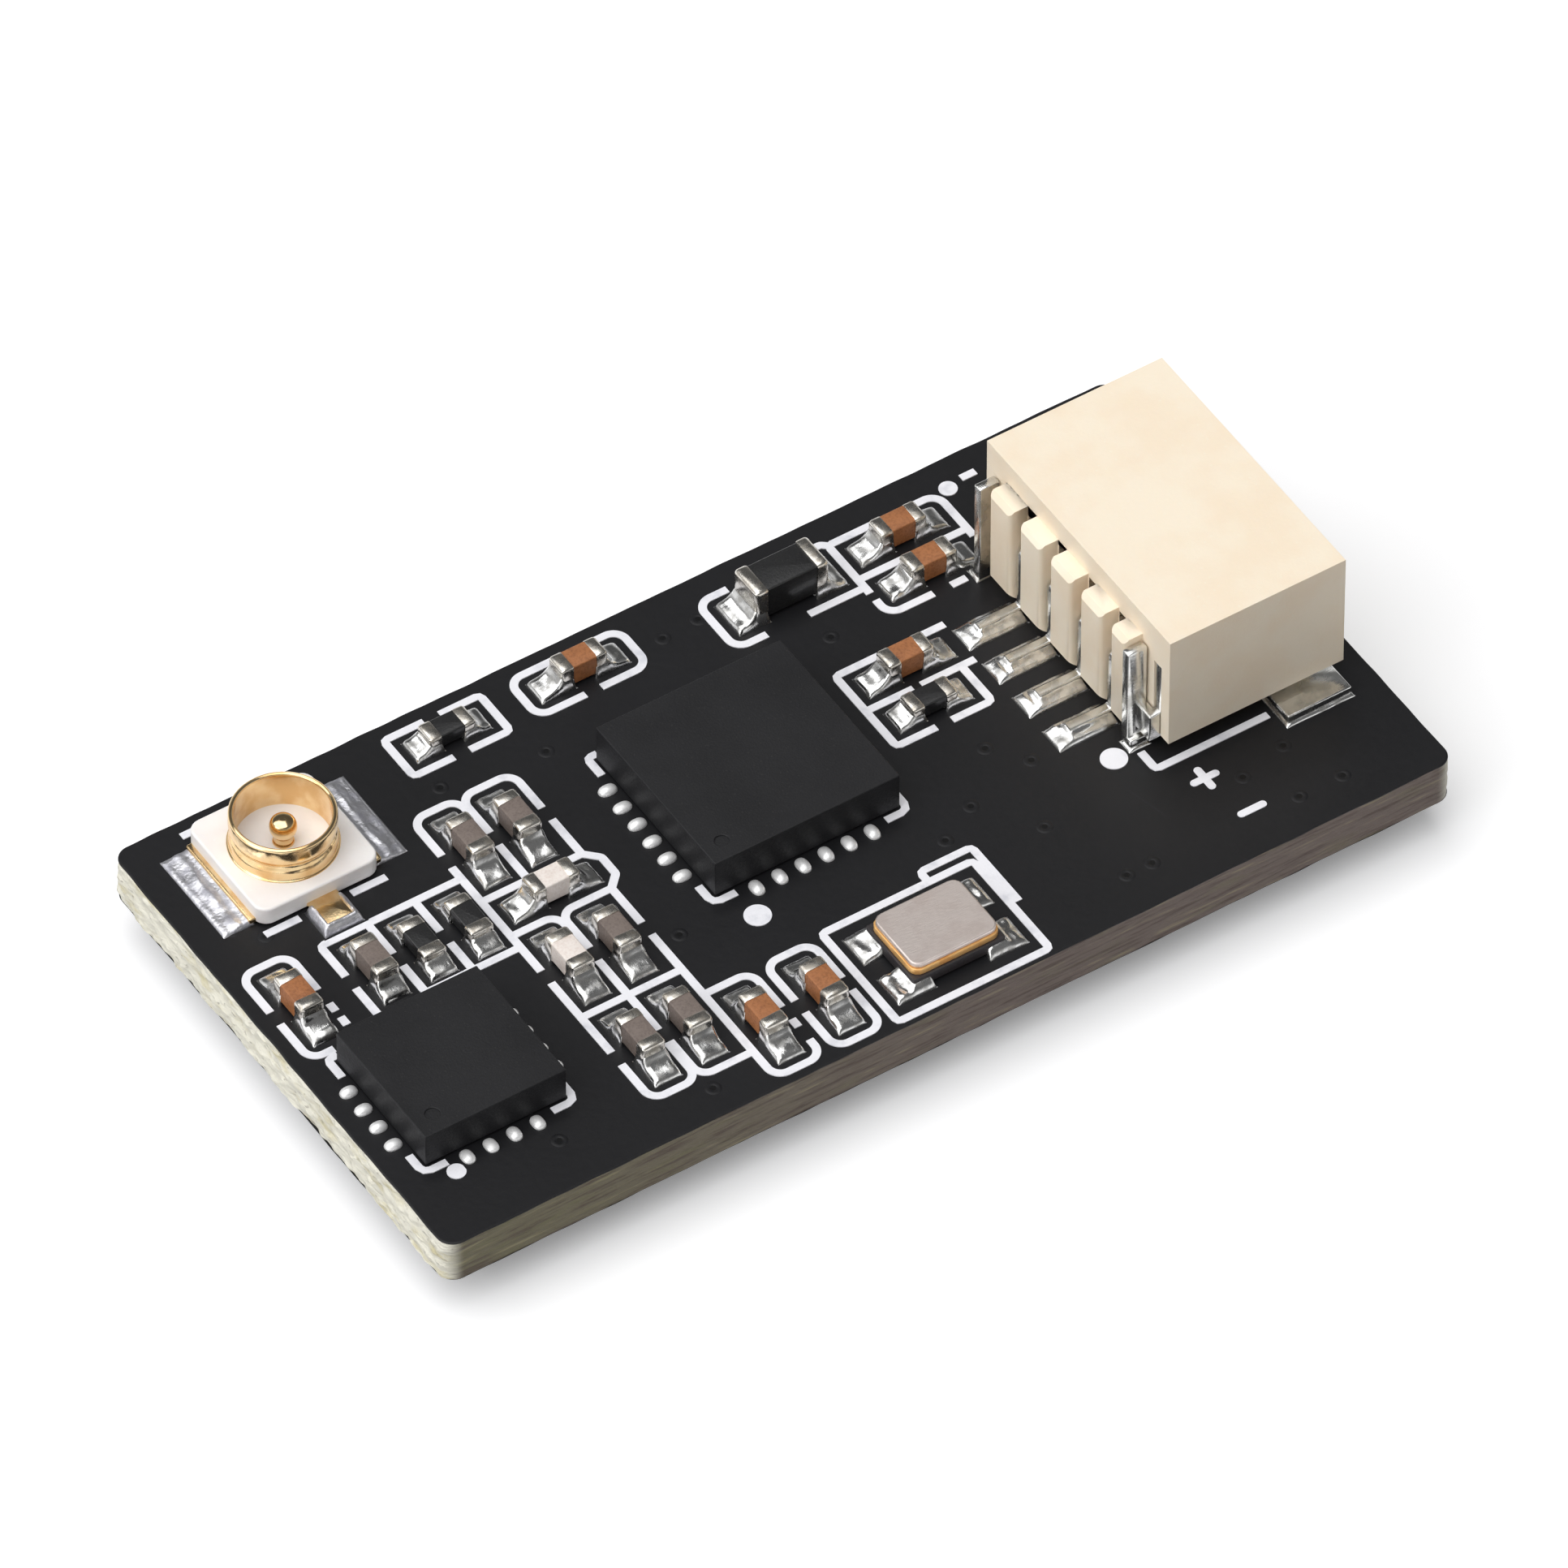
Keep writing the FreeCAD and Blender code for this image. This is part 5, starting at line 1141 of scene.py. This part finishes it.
@dataclass
class CircuitBoard:
    """Laminate with frayed ends between two thin masks, and its tented vias with painted shade in
    their dimples.

    Lengths are in millimetres. Bundles and fibres have how many there are to the millimetre, round
    the edge and upwards. The masks' edge has shares of the inset and of the thickness, and the tent
    and the pit of a via have radii and heights. The pit is a near-black disc of painted shade laid
    in the tent's dimple.
    """

    corner: float = 0.35
    mask: float = 0.03
    inset: float = 0.035
    step: float = 0.06
    levels: int = 16
    fray: float = 0.11
    fray_right: float = 0.4
    sawn: float = 0.012
    bundles: tuple[float, float] = (1.3, 4.5)
    fibres: tuple[float, float] = (4.5, 13.0)
    mask_edge: Sequence[tuple[float, float]] = ((0.35, 0.0), (0.45, 0.6), (0.8, 0.93), (1.4, 1.0))
    tent: Sequence[tuple[float, float]] = (
        (0, 0.0015), (0.06, 0.0015), (0.085, 0.008), (0.12, 0.009), (0.15, 0.003), (0.18, -0.004),
        (0, -0.004))
    # The pit is painted shade: a near-black disc just over the dimple's floor.
    pit: Sequence[tuple[float, float]] = ((0, -0.002), (0.07, -0.002), (0.07, 0.0025), (0, 0.0025))
    around: int = 28
    vias: Sequence[tuple[float, float]] = (
        (14.75, 4.9), (15.3, 4.2), (13.75, 3.85), (14.6, 2.7), (15.2, 0.9), (15.75, 0.9),
        (18.3, 1.75), (19.35, 2.0), (18.9, 0.8), (19.85, 0.8), (11.3, 10.4), (12.1, 10.45),
        (7.6, 4.1), (8.0, 9.2), (5.9, 9.5), (1.3, 8.15), (0.85, 8.6), (3.1, 1.1), (6.1, 0.65),
        (13.9, 8.75), (12.9, 3.4))

    def outline(self) -> list[tuple[Vector, Vector]]:
        """Follow the board's edge in even steps.

        Returns:
            Points of the edge, each with its outward direction.
        """
        corner, step = self.corner * MM, self.step * MM
        low = BOARD_LOW + Vector((corner, corner, 0))
        high = BOARD_HIGH - Vector((corner, corner, 0))
        pivots = [Vector((high.x, high.y, 0)), Vector((low.x, high.y, 0)),
                  Vector((low.x, low.y, 0)), Vector((high.x, low.y, 0))]
        turns = max(4, round(corner * math.pi / 2 / step))
        points = []
        for quarter, pivot in enumerate(pivots):
            for turn in range(turns):
                angle = math.radians(90 * (quarter + turn / turns))
                outward = Vector((math.cos(angle), math.sin(angle), 0))
                points.append((pivot + outward * corner, outward))
            angle = math.radians(90 * (quarter + 1))
            outward = Vector((math.cos(angle), math.sin(angle), 0))
            start, end = pivot + outward * corner, pivots[(quarter + 1) % 4] + outward * corner
            count = max(1, round((end - start).length / step))
            points += [(start.lerp(end, index / count), outward) for index in range(count)]
        return points

    def bulge(self, point: Vector, outward: Vector, z: float) -> float:
        """Work out how far a fibre stands out of the board's side.

        Args:
            point: a point of the edge.
            outward: the outward direction there.
            z: the fibre's height, in metres.

        Returns:
            The distance in metres, negative for a hollow.
        """
        place = point / MM
        (plan, rise), (fine_plan, fine_rise) = self.bundles, self.fibres
        bundle = noise.noise(Vector((place.x * plan, place.y * plan, z / MM * rise)))
        fibre = noise.noise(Vector((place.x * fine_plan, place.y * fine_plan, z / MM * fine_rise))
                            + Vector((9, 9, 9)))
        depth = self.sawn + (self.fray - self.sawn) * abs(outward.x) ** 2
        if point.x > 0:
            depth = self.sawn + (depth - self.sawn) * self.fray_right
        return depth * (0.75 * bundle + 0.45 * fibre) * MM

    def build(self) -> None:
        """Draft the board with its two masks, then its vias."""
        draft = Draft()
        outline = self.outline()
        mask, inset = self.mask * MM, self.inset * MM
        low, high = UNDER + mask, TOP - mask
        loops = []
        for level in range(self.levels + 1):
            z = low + (high - low) * level / self.levels
            loops.append([point + outward * (self.bulge(point, outward, z) - inset * 0.4)
                          + Vector((0, 0, z)) for point, outward in outline])
        draft.loft(loops, slot=0)
        for base, face in ((high, TOP), (low, UNDER)):
            rings = []
            for share, lift in self.mask_edge:
                z = Vector((0, 0, base + (face - base) * lift))
                rings.append([point - outward * inset
                              * (share + 0.5 * noise.noise(point / MM * 1.7)) + z
                              for point, outward in outline])
            draft.loft(rings if face == TOP else rings[::-1], slot=1)
        draft.piece("circuit_board", (LAMINATE, MASK), "circuit_board")
        # Each via's pit is a near-black disc of painted shade in the tent's dimple.
        tents, pits = Draft(), Draft()
        for x, y in self.vias:
            tents.lathe(spot(x, y), soften_profile(self.tent), self.around)
            pits.lathe(spot(x, y), self.pit, self.around)
        tents.piece("via_tents", MASK)
        pits.piece("via_painted_pit_shade", PAINTED_PIT_SHADE)


@dataclass
class PrintedOutlines:
    """White outlines printed round the parts, with the polarity marks of the wire header.

    Each mark has its place and how many bars it has, and sizes are in millimetres.
    """

    mark: float = 0.62
    stroke: float = 0.16
    thickness: float = 0.02
    mark_edge: float = 0.006
    marks: Sequence[tuple[float, float, int]] = ((17.7, 2.1, 2), (18.0, 1.0, 1))

    def build(self) -> None:
        """Draft the outlines with their corners run round, and print the two marks."""
        outlines = Draft()
        outlines.copy_node("printed_outlines")
        outlines.round_edges(self.stroke * 0.46, self.upright_corner, steps=5)
        outlines.piece("printed_outlines", INK, "printed_outlines", crease=0.0)
        draft = Draft()
        for x, y, bars in self.marks:
            place = spot(x, y)
            for bar in range(bars):
                half = Vector((self.mark, self.stroke, 0)) * MM / 2
                if bar:
                    half = Vector((half.y, half.x, 0))
                lift = Vector((0, 0, self.thickness * (1 - 0.15 * bar) * MM))
                draft.slab(place - half, place + half + lift, self.stroke / 2 - 0.001,
                           self.mark_edge)
        draft.piece("polarity_marks", INK)

    def upright_corner(self, edge: bmesh.types.BMEdge) -> bool:
        """True for an upright edge at a sharp outer corner."""
        start, end = (vert.co for vert in edge.verts)
        return abs(start.z - end.z) > self.thickness * MM / 2 and convex(edge)


@dataclass
class SmallChip:
    """A small ceramic chip: its body and the metal cups over its ends. Sizes are in millimetres."""

    node: str
    finish: Finish
    wall: float = 0.02
    cap: float = 0.25
    edge: float = 0.075
    body_edge: float = 0.03
    ripple: float = 0.025

    def body(self) -> None:
        """Draft the ceramic."""
        block(self.node, self.finish, self.body_edge, self.body_edge)

    def climb(self, rise: float) -> Climb:
        """Tell what its solder climbs.

        Args:
            rise: how high its cups are wetted, in millimetres.

        Returns:
            Both cups, as one.
        """
        low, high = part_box(self.node)
        wall = Vector((self.wall, self.wall, 0)) * MM
        return Climb(low - wall, high + wall, rise)

    def cups(self, draft: Draft) -> None:
        """Draft both end cups.

        Args:
            draft: the draft that takes them.
        """
        low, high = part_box(self.node)
        wall = Vector((self.wall * MM,) * 3)
        along = 0 if high.x - low.x > high.y - low.y else 1
        for sign in (-1, 1):
            self.cup(draft, low - wall, high + wall, along, sign)

    def cup(self, draft: Draft, low: Vector, high: Vector, along: int, sign: int) -> None:
        """Draft one end cup as loops from its rim out to its flat end.

        Args:
            draft: the draft that takes it.
            low: the cups' lowest corner.
            high: the cups' highest corner.
            along: the chip's long axis, 0 for X and 1 for Y.
            sign: the end, 1 towards the axis and -1 away from it.
        """
        middle = (low + high) / 2
        half = (high - low) / 2
        across = 1 - along
        edge, cap, wall = self.edge * MM, self.cap * MM, self.wall * MM
        loops = []
        rows = [(-cap, -wall), (-cap, -wall * 0.3), (-cap + wall, 0.0)]
        rows += [(-edge * (1 - math.sin(angle)), -edge * (1 - math.cos(angle)))
                 for angle in (math.radians(15 * step) for step in range(7))]
        for reach, inset in rows:
            flat = Vector((half[across] + inset, half.z + inset, 0))
            ring = rectangle(-flat, flat, max(edge + inset, 0.2 * edge), 4)
            loop = []
            for point in ring:
                ripple = noise.noise(Vector((point.x, point.y, middle.x + sign * middle.y))
                                     / MM * 5)
                shift = ripple * self.ripple * MM if reach <= -cap + wall else 0.0
                spread = Vector((0, 0, point.y))
                spread[along] = sign * (half[along] + reach + shift)
                spread[across] = point.x
                loop.append(middle + spread)
            loops.append(loop)
        draft.loft(loops)


@dataclass
class SmallChips:
    """All the small chips, with their shared end cups, wetted to a share of their height."""

    wetted: float = 0.6
    kinds: Sequence[tuple[str, Finish]] = (
        ("supply_capacitor", BROWN), ("filter_capacitor", GREY), ("resistor", BLACK),
        ("inductor", WHITE), ("under_capacitor", BROWN))

    def build(self) -> list[Climb]:
        """Draft the chips.

        Returns:
            What their solder climbs.
        """
        cups = Draft()
        climbs = []
        for prefix, finish in self.kinds:
            for node in numbered(prefix):
                chip = SmallChip(node, finish)
                chip.body()
                chip.cups(cups)
                low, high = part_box(node)
                climbs.append(chip.climb((high.z - low.z) / MM * self.wetted))
        cups.piece("chip_end_caps", END_METAL, "chip_end_caps")
        return climbs


@dataclass
class SquareChips:
    """Moulded square chips: sharp sides, a fine grained top and a dimple at the first pad."""

    nodes: Sequence[str] = ("transceiver_chip", "amplifier_chip", "controller_chip")
    edge: float = 0.02
    wetted: float = 0.16

    def build(self) -> list[Climb]:
        """Draft the chips.

        Returns:
            What their solder climbs.
        """
        for node in self.nodes:
            rounded(node, COMPOUND, self.edge)
        return [Climb(*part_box(node), self.wetted) for node in self.nodes]


@dataclass
class Crystal:
    """A crystal's ceramic base, gold seal ring and metal lid, with their corners and edges."""

    wetted: float = 0.14
    blocks: Sequence[tuple[str, Finish, float, float]] = (
        ("crystal_base", DARK, 0.05, 0.02), ("crystal_seal", SEAL_GOLD_PAINTED_SHEEN, 0.2, 0.015),
        ("crystal_lid", LID, 0.2, 0.035))

    def build(self) -> list[Climb]:
        """Draft the three pieces.

        Returns:
            What its solder climbs.
        """
        for node, finish, corner, edge in self.blocks:
            block(node, finish, corner, edge)
        return [Climb(*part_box("crystal_base"), self.wetted)]


@dataclass
class Bead:
    """A ferrite bead: its black body and thick metal collars."""

    collar_edge: float = 0.09
    collar_wall: float = 0.04
    collar: float = 0.26
    wetted: float = 0.3

    def build(self) -> list[Climb]:
        """Draft the body and its collars.

        Returns:
            What its solder climbs.
        """
        chip = SmallChip("bead_core", BLACK, wall=self.collar_wall, cap=self.collar,
                         edge=self.collar_edge)
        chip.body()
        cups = Draft()
        chip.cups(cups)
        cups.piece("bead_collars", END_METAL, "bead_collars")
        return [chip.climb(self.wetted)]


@dataclass
class AntennaSocket:
    """The antenna socket: white base, turned gold ring with its wings, and the centre contact.

    Sizes are in millimetres. The ring and the contact are sunk into the base, and the wings and the
    tail start inside it.
    """

    ring_radius: float = 1.0
    ring_wall: float = 0.1
    sunk: float = 0.1
    foot: float = 0.05
    groove: float = 0.06
    groove_rise: float = 0.33
    groove_half: float = 0.12
    lip: float = 0.045
    base_corner: float = 0.28
    base_edge: float = 0.05
    sheet: float = 0.12
    sheet_edge: float = 0.03
    wing_length: float = 2.2
    wing_corner: float = 0.05
    tail_width: float = 0.65
    tail_corner: float = 0.06
    inside: float = 0.1

    def build(self) -> list[Climb]:
        """Draft the socket's three pieces.

        Returns:
            What its solder climbs.
        """
        low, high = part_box("socket_base")
        middle = (low + high) / 2
        floor = Vector((middle.x, middle.y, high.z))
        block("socket_base", PORCELAIN, self.base_corner, self.base_edge, steps=6)
        ring_low, ring_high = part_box("socket_ring")
        ring = Draft()
        ring.lathe(floor, self.ring_profile((ring_high.z - high.z) / MM), steps=128)
        half_wing = self.wing_length / 2 * MM
        inside = self.inside * MM
        climbs = []
        for start, end in ((ring_low.x, low.x + inside), (high.x - inside, ring_high.x)):
            corner = Vector((start, middle.y - half_wing, ring_low.z))
            other = Vector((end, middle.y + half_wing, ring_low.z + self.sheet * MM))
            ring.slab(corner, other, self.wing_corner, self.sheet_edge)
            climbs.append(Climb(corner, other, self.sheet * 0.5))
        ring.piece("socket_ring", GOLD, "socket_ring")
        return climbs + [self.build_pin(floor, low)]

    def ring_profile(self, rise: float) -> list[tuple[float, float]]:
        """Draw the ring's closed profile.

        Args:
            rise: the ring's height over the base, in millimetres.

        Returns:
            Radius and height of each point, in millimetres.
        """
        outer, inner = self.ring_radius, self.ring_radius - self.ring_wall
        groove, lip, sunk = self.groove_rise, self.lip, self.sunk
        return soften_profile((
            (inner, -sunk), (outer + self.foot, -sunk), (outer + self.foot, 0.012),
            (outer + 0.01, 0.03), (outer, 0.08), (outer, groove - self.groove_half),
            (outer - self.groove, groove - 0.02), (outer - self.groove, groove + 0.02),
            (outer + 0.006, groove + self.groove_half), (outer + 0.006, rise - 1.6 * lip),
            (outer - 0.004, rise - 0.5 * lip), (outer - lip, rise), (inner + lip, rise),
            (inner + 0.004, rise - 0.5 * lip), (inner, rise - 2 * lip), (inner, 0.5 * rise),
            (inner, -sunk)))[:-1]

    def build_pin(self, floor: Vector, base_low: Vector) -> Climb:
        """Draft the centre contact and its tail.

        Args:
            floor: the middle of the base's upper face.
            base_low: the base's lowest corner.

        Returns:
            The tail, which its solder climbs.
        """
        pin_low, pin_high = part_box("socket_pin")
        rise = (pin_high.z - floor.z) / MM
        pin = Draft()
        pin.lathe(floor, soften_profile((
            (0, -self.sunk), (0.21, -self.sunk), (0.21, 0.03), (0.17, 0.06), (0.165, 0.3 * rise),
            (0.235, 0.42 * rise), (0.27, 0.68 * rise), (0.22, 0.93 * rise), (0.1, rise),
            (0, rise))), steps=48)
        half = self.tail_width / 2 * MM
        corner = Vector((floor.x - half, pin_low.y, pin_low.z))
        other = Vector((floor.x + half, base_low.y + self.inside * MM,
                        pin_low.z + self.sheet * MM))
        pin.slab(corner, other, self.tail_corner, self.sheet_edge)
        pin.piece("socket_pin", GOLD, "socket_pin")
        return Climb(corner, other, self.sheet * 1.2)


@dataclass
class WireHeader:
    """The wire header: its housing, bent contacts and side tabs, with sizes in millimetres.

    The contacts' middles lie behind the floor of the slots between the ribs by the setback.
    """

    edge: float = 0.05
    long_edge: float = 0.29
    rib_corner: float = 0.11
    rib_depth: float = 0.4
    sheet: float = 0.2
    width: float = 0.22
    strip_edge: float = 0.05
    setback: float = 0.18
    bend: float = 0.16
    tab_edge: float = 0.035
    wetted: float = 0.15

    def build(self) -> list[Climb]:
        """Draft the header's pieces.

        Returns:
            What its solder climbs.
        """
        housing = Draft()
        housing.copy_node("header_housing")
        housing.round_edges(self.rib_corner, self.rib_edge, steps=4)
        housing.round_edges(self.edge, self.outer_edge)
        housing.piece("header_housing", CREAM, "header_housing")
        climbs = [self.build_contact(node) for node in numbered("header_contact_")]
        for node in ("header_tab_near", "header_tab_far"):
            rounded(node, STRIP, self.tab_edge)
        return climbs

    @property
    def rear(self) -> float:
        """Where the housing's rear lies along X, in metres."""
        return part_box("header_housing")[0].x

    def rib_edge(self, edge: bmesh.types.BMEdge) -> bool:
        """Pick the upright rear edges of the ribs.

        Args:
            edge: an edge of the housing.

        Returns:
            True for such an edge.
        """
        start, end = (vert.co for vert in edge.verts)
        upright = abs(start.z - end.z) > MM and abs(start.x - end.x) < NEAR
        return upright and start.x < self.rear + NEAR and convex(edge)

    def outer_edge(self, edge: bmesh.types.BMEdge) -> bool:
        """True for the long outer edges of the housing and its ribs."""
        return convex(edge) and edge.calc_length() > self.long_edge * MM

    def build_contact(self, node: str) -> Climb:
        """Draft one contact as a bent strip.

        Args:
            node: the contact's node.

        Returns:
            The contact's tail, which its solder climbs.
        """
        low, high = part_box(node)
        half = self.sheet / 2 * MM
        middle = (low.y + high.y) / 2
        upright = self.rear + (self.rib_depth - self.setback) * MM
        line = [Vector((x, middle, z)) for x, z in (
            (high.x, high.z - half), (upright, high.z - half), (upright, low.z + half),
            (low.x, low.z + half))]
        draft = Draft()
        draft.strip(bent(line, self.bend * MM), Vector((0, 1, 0)), self.width, self.sheet,
                    self.strip_edge)
        draft.piece(node, STRIP, node)
        return Climb(low, Vector((upright, high.y, low.z + 2 * half)), self.wetted)


@dataclass
class Underside:
    """The regulator and the status lamp under the board, with their edges."""

    leg_sheet: float = 0.13
    leg_edge: float = 0.02
    lamp_wetted: float = 0.12
    blocks: Sequence[tuple[str, Finish, float]] = (
        ("regulator_body", COMPOUND, 0.05), ("lamp_base", CARRIER, 0.03), ("lamp_lens", LENS, 0.04))

    def build(self) -> list[Climb]:
        """Draft the pieces.

        Returns:
            What their solder climbs.
        """
        for node, finish, edge in self.blocks:
            block(node, finish, edge, edge)
        rounded("regulator_legs", STRIP, self.leg_edge)
        climbs = [Climb(leg.low, leg.high, self.leg_sheet) for leg in islands("regulator_legs")]
        return climbs + [Climb(*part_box("lamp_base"), self.lamp_wetted)]


@dataclass
class Studio:
    """Pale floor, soft light and the camera at the photograph's angle.

    Angles are in degrees and lengths in metres, but for the sensor's width in millimetres. The
    floor has a colour where it is seen and one for its bounce, and a glow with how much less of it
    is seen. Each lamp has its name, place, width and power.
    """

    azimuth: float = -33.0
    elevation: float = 47.7
    distance: float = 0.42
    framed: float = 0.0285
    sensor: float = 36.0
    floor_radius: float = 1.1
    floor_seen: Tone = (251, 251, 252)
    floor_bounce: Tone = (124, 124, 126)
    floor_glow: tuple[float, float] = (0.24, 0.04)
    ambient: float = 0.25
    lamps: Sequence[tuple[str, Tone, float, float]] = (
        ("key_softbox", (-0.17, 0.03, 0.47), 0.73, 3.1),
        ("left_softbox", (-0.44, -0.02, 0.19), 0.26, 0.5))

    def build(self) -> None:
        """Lay the floor, hang the lamps and set up the camera."""
        self.floor()
        self.world()
        for name, place, size, power in self.lamps:
            self.lamp(name, place, size, power)
        self.camera()
        bpy.context.scene.view_settings.view_transform = "Standard"

    def floor(self) -> None:
        """A wide round floor, white to the camera and in reflections, greyer as a bounce."""
        mesh = bmesh.new()
        bmesh.ops.create_circle(mesh, cap_ends=True, radius=self.floor_radius, segments=96)
        data = bpy.data.meshes.new("floor")
        mesh.to_mesh(data)
        mesh.free()
        material = bpy.data.materials.new("studio_floor")
        graph = Graph(material)
        seen = self.seen(graph)
        colour = graph.blend(self.floor_bounce, self.floor_seen, seen)
        card = graph.surface(Base_Color=colour, Roughness=0.9, Specular_IOR_Level=0.1)
        strength, less = self.floor_glow
        glow = graph.node("ShaderNodeEmission", inputs={"Strength": strength - seen * less})
        lit = graph.node("ShaderNodeAddShader", inputs={0: card, 1: glow})
        clear = graph.node("ShaderNodeBsdfTransparent")
        behind = graph.node("ShaderNodeNewGeometry", output="Backfacing")
        graph.close(graph.node("ShaderNodeMixShader", inputs={0: behind, 1: lit, 2: clear}))
        data.materials.append(material)
        in_scene("floor", data)

    def seen(self, graph: Graph) -> Wire:
        """1 for a ray from the camera, or from a mirror or a glass that the camera looks at."""
        path = graph.node("ShaderNodeLightPath", output="Is Camera Ray")
        return path.most(path.part("Is Glossy Ray")).most(path.part("Is Transmission Ray"))

    def world(self) -> None:
        """White behind the object, and in reflections white at the near left horizon only."""
        world = bpy.data.worlds.new("studio")
        bpy.context.scene.world = world
        graph = Graph(world)
        way = graph.node("ShaderNodeSeparateXYZ", inputs={
            0: graph.node("ShaderNodeTexCoord", output="Generated")}, output="Z")
        path = graph.node("ShaderNodeLightPath", output="Is Camera Ray")
        lee = (way.part("X") * 0.5 + way.part("Y") * 0.86).between(-0.2, 0.7)
        mirrored = (1 - lee * 0.45) * (1 - abs(way).between(0.1, 0.55) * 0.86)
        light = path.part("Is Glossy Ray") * (mirrored - self.ambient) + self.ambient
        strength = path * (1 - light) + light
        shader = graph.node("ShaderNodeBackground", inputs={"Color": WHITE_LIGHT,
                                                            "Strength": strength})
        graph.node("ShaderNodeOutputWorld", inputs={"Surface": shader})

    def lamp(self, name: str, place: Tone, size: float, power: float) -> None:
        """Hang a square softbox that faces the receiver.

        Args:
            name: its name.
            place: its place, in metres.
            size: its width, in metres.
            power: its power, in watts.
        """
        light = bpy.data.lights.new(name, "AREA")
        light.shape = "SQUARE"
        light.size = size
        light.energy = power
        hung = in_scene(name, light)
        hung.location = place
        hung.rotation_euler = (Vector(place) * -1).to_track_quat("-Z", "Y").to_euler()

    def camera(self) -> None:
        """Set the camera at the photograph's direction and distance, framed closer on the board."""
        data = bpy.data.cameras.new("camera")
        data.sensor_width = self.sensor
        data.lens = self.sensor * self.distance / self.framed
        data.clip_start, data.clip_end = 0.01, 10.0
        low, high = CAD_BOX
        middle = (low + high) / 2
        turn, tilt = math.radians(self.azimuth), math.radians(self.elevation)
        back = Vector((math.sin(turn) * math.cos(tilt), -math.cos(turn) * math.cos(tilt),
                       math.sin(tilt)))
        camera = in_scene("camera", data)
        camera.location = middle + back * self.distance
        camera.rotation_euler = (-back).to_track_quat("-Z", "Y").to_euler()
        bpy.context.scene.camera = camera


def main() -> None:
    """Build the receiver's pieces in order, then the studio."""
    logging.basicConfig(level=logging.INFO, format="%(message)s")
    CircuitBoard().build()
    PrintedOutlines().build()
    chips = SmallChips().build()
    squares = SquareChips().build()
    crystal = Crystal().build()
    bead = Bead().build()
    socket = AntennaSocket().build()
    header = WireHeader().build()
    under = Underside().build()
    upper_chips = [climb for climb in chips if climb.low.z > UNDER]
    lower_chips = [climb for climb in chips if climb.low.z < UNDER]
    SolderPools("chip_solder", upper_chips).build()
    PadDrops("transceiver_solder", end=1.05).build()
    PadDrops("amplifier_solder", end=0.98).build()
    SolderPools("crystal_solder", crystal, reach=0.12).build()
    SolderPools("bead_solder", bead, reach=0.14).build()
    SolderPools("socket_solder", socket, reach=0.1, finish=GRAINY_SOLDER).build()
    SolderPools("header_solder", header, reach=0.09).build()
    SolderPools("under_solder", squares[2:] + lower_chips + under, reach=0.12).build()
    Studio().build()


if __name__ == "__main__":
    main()
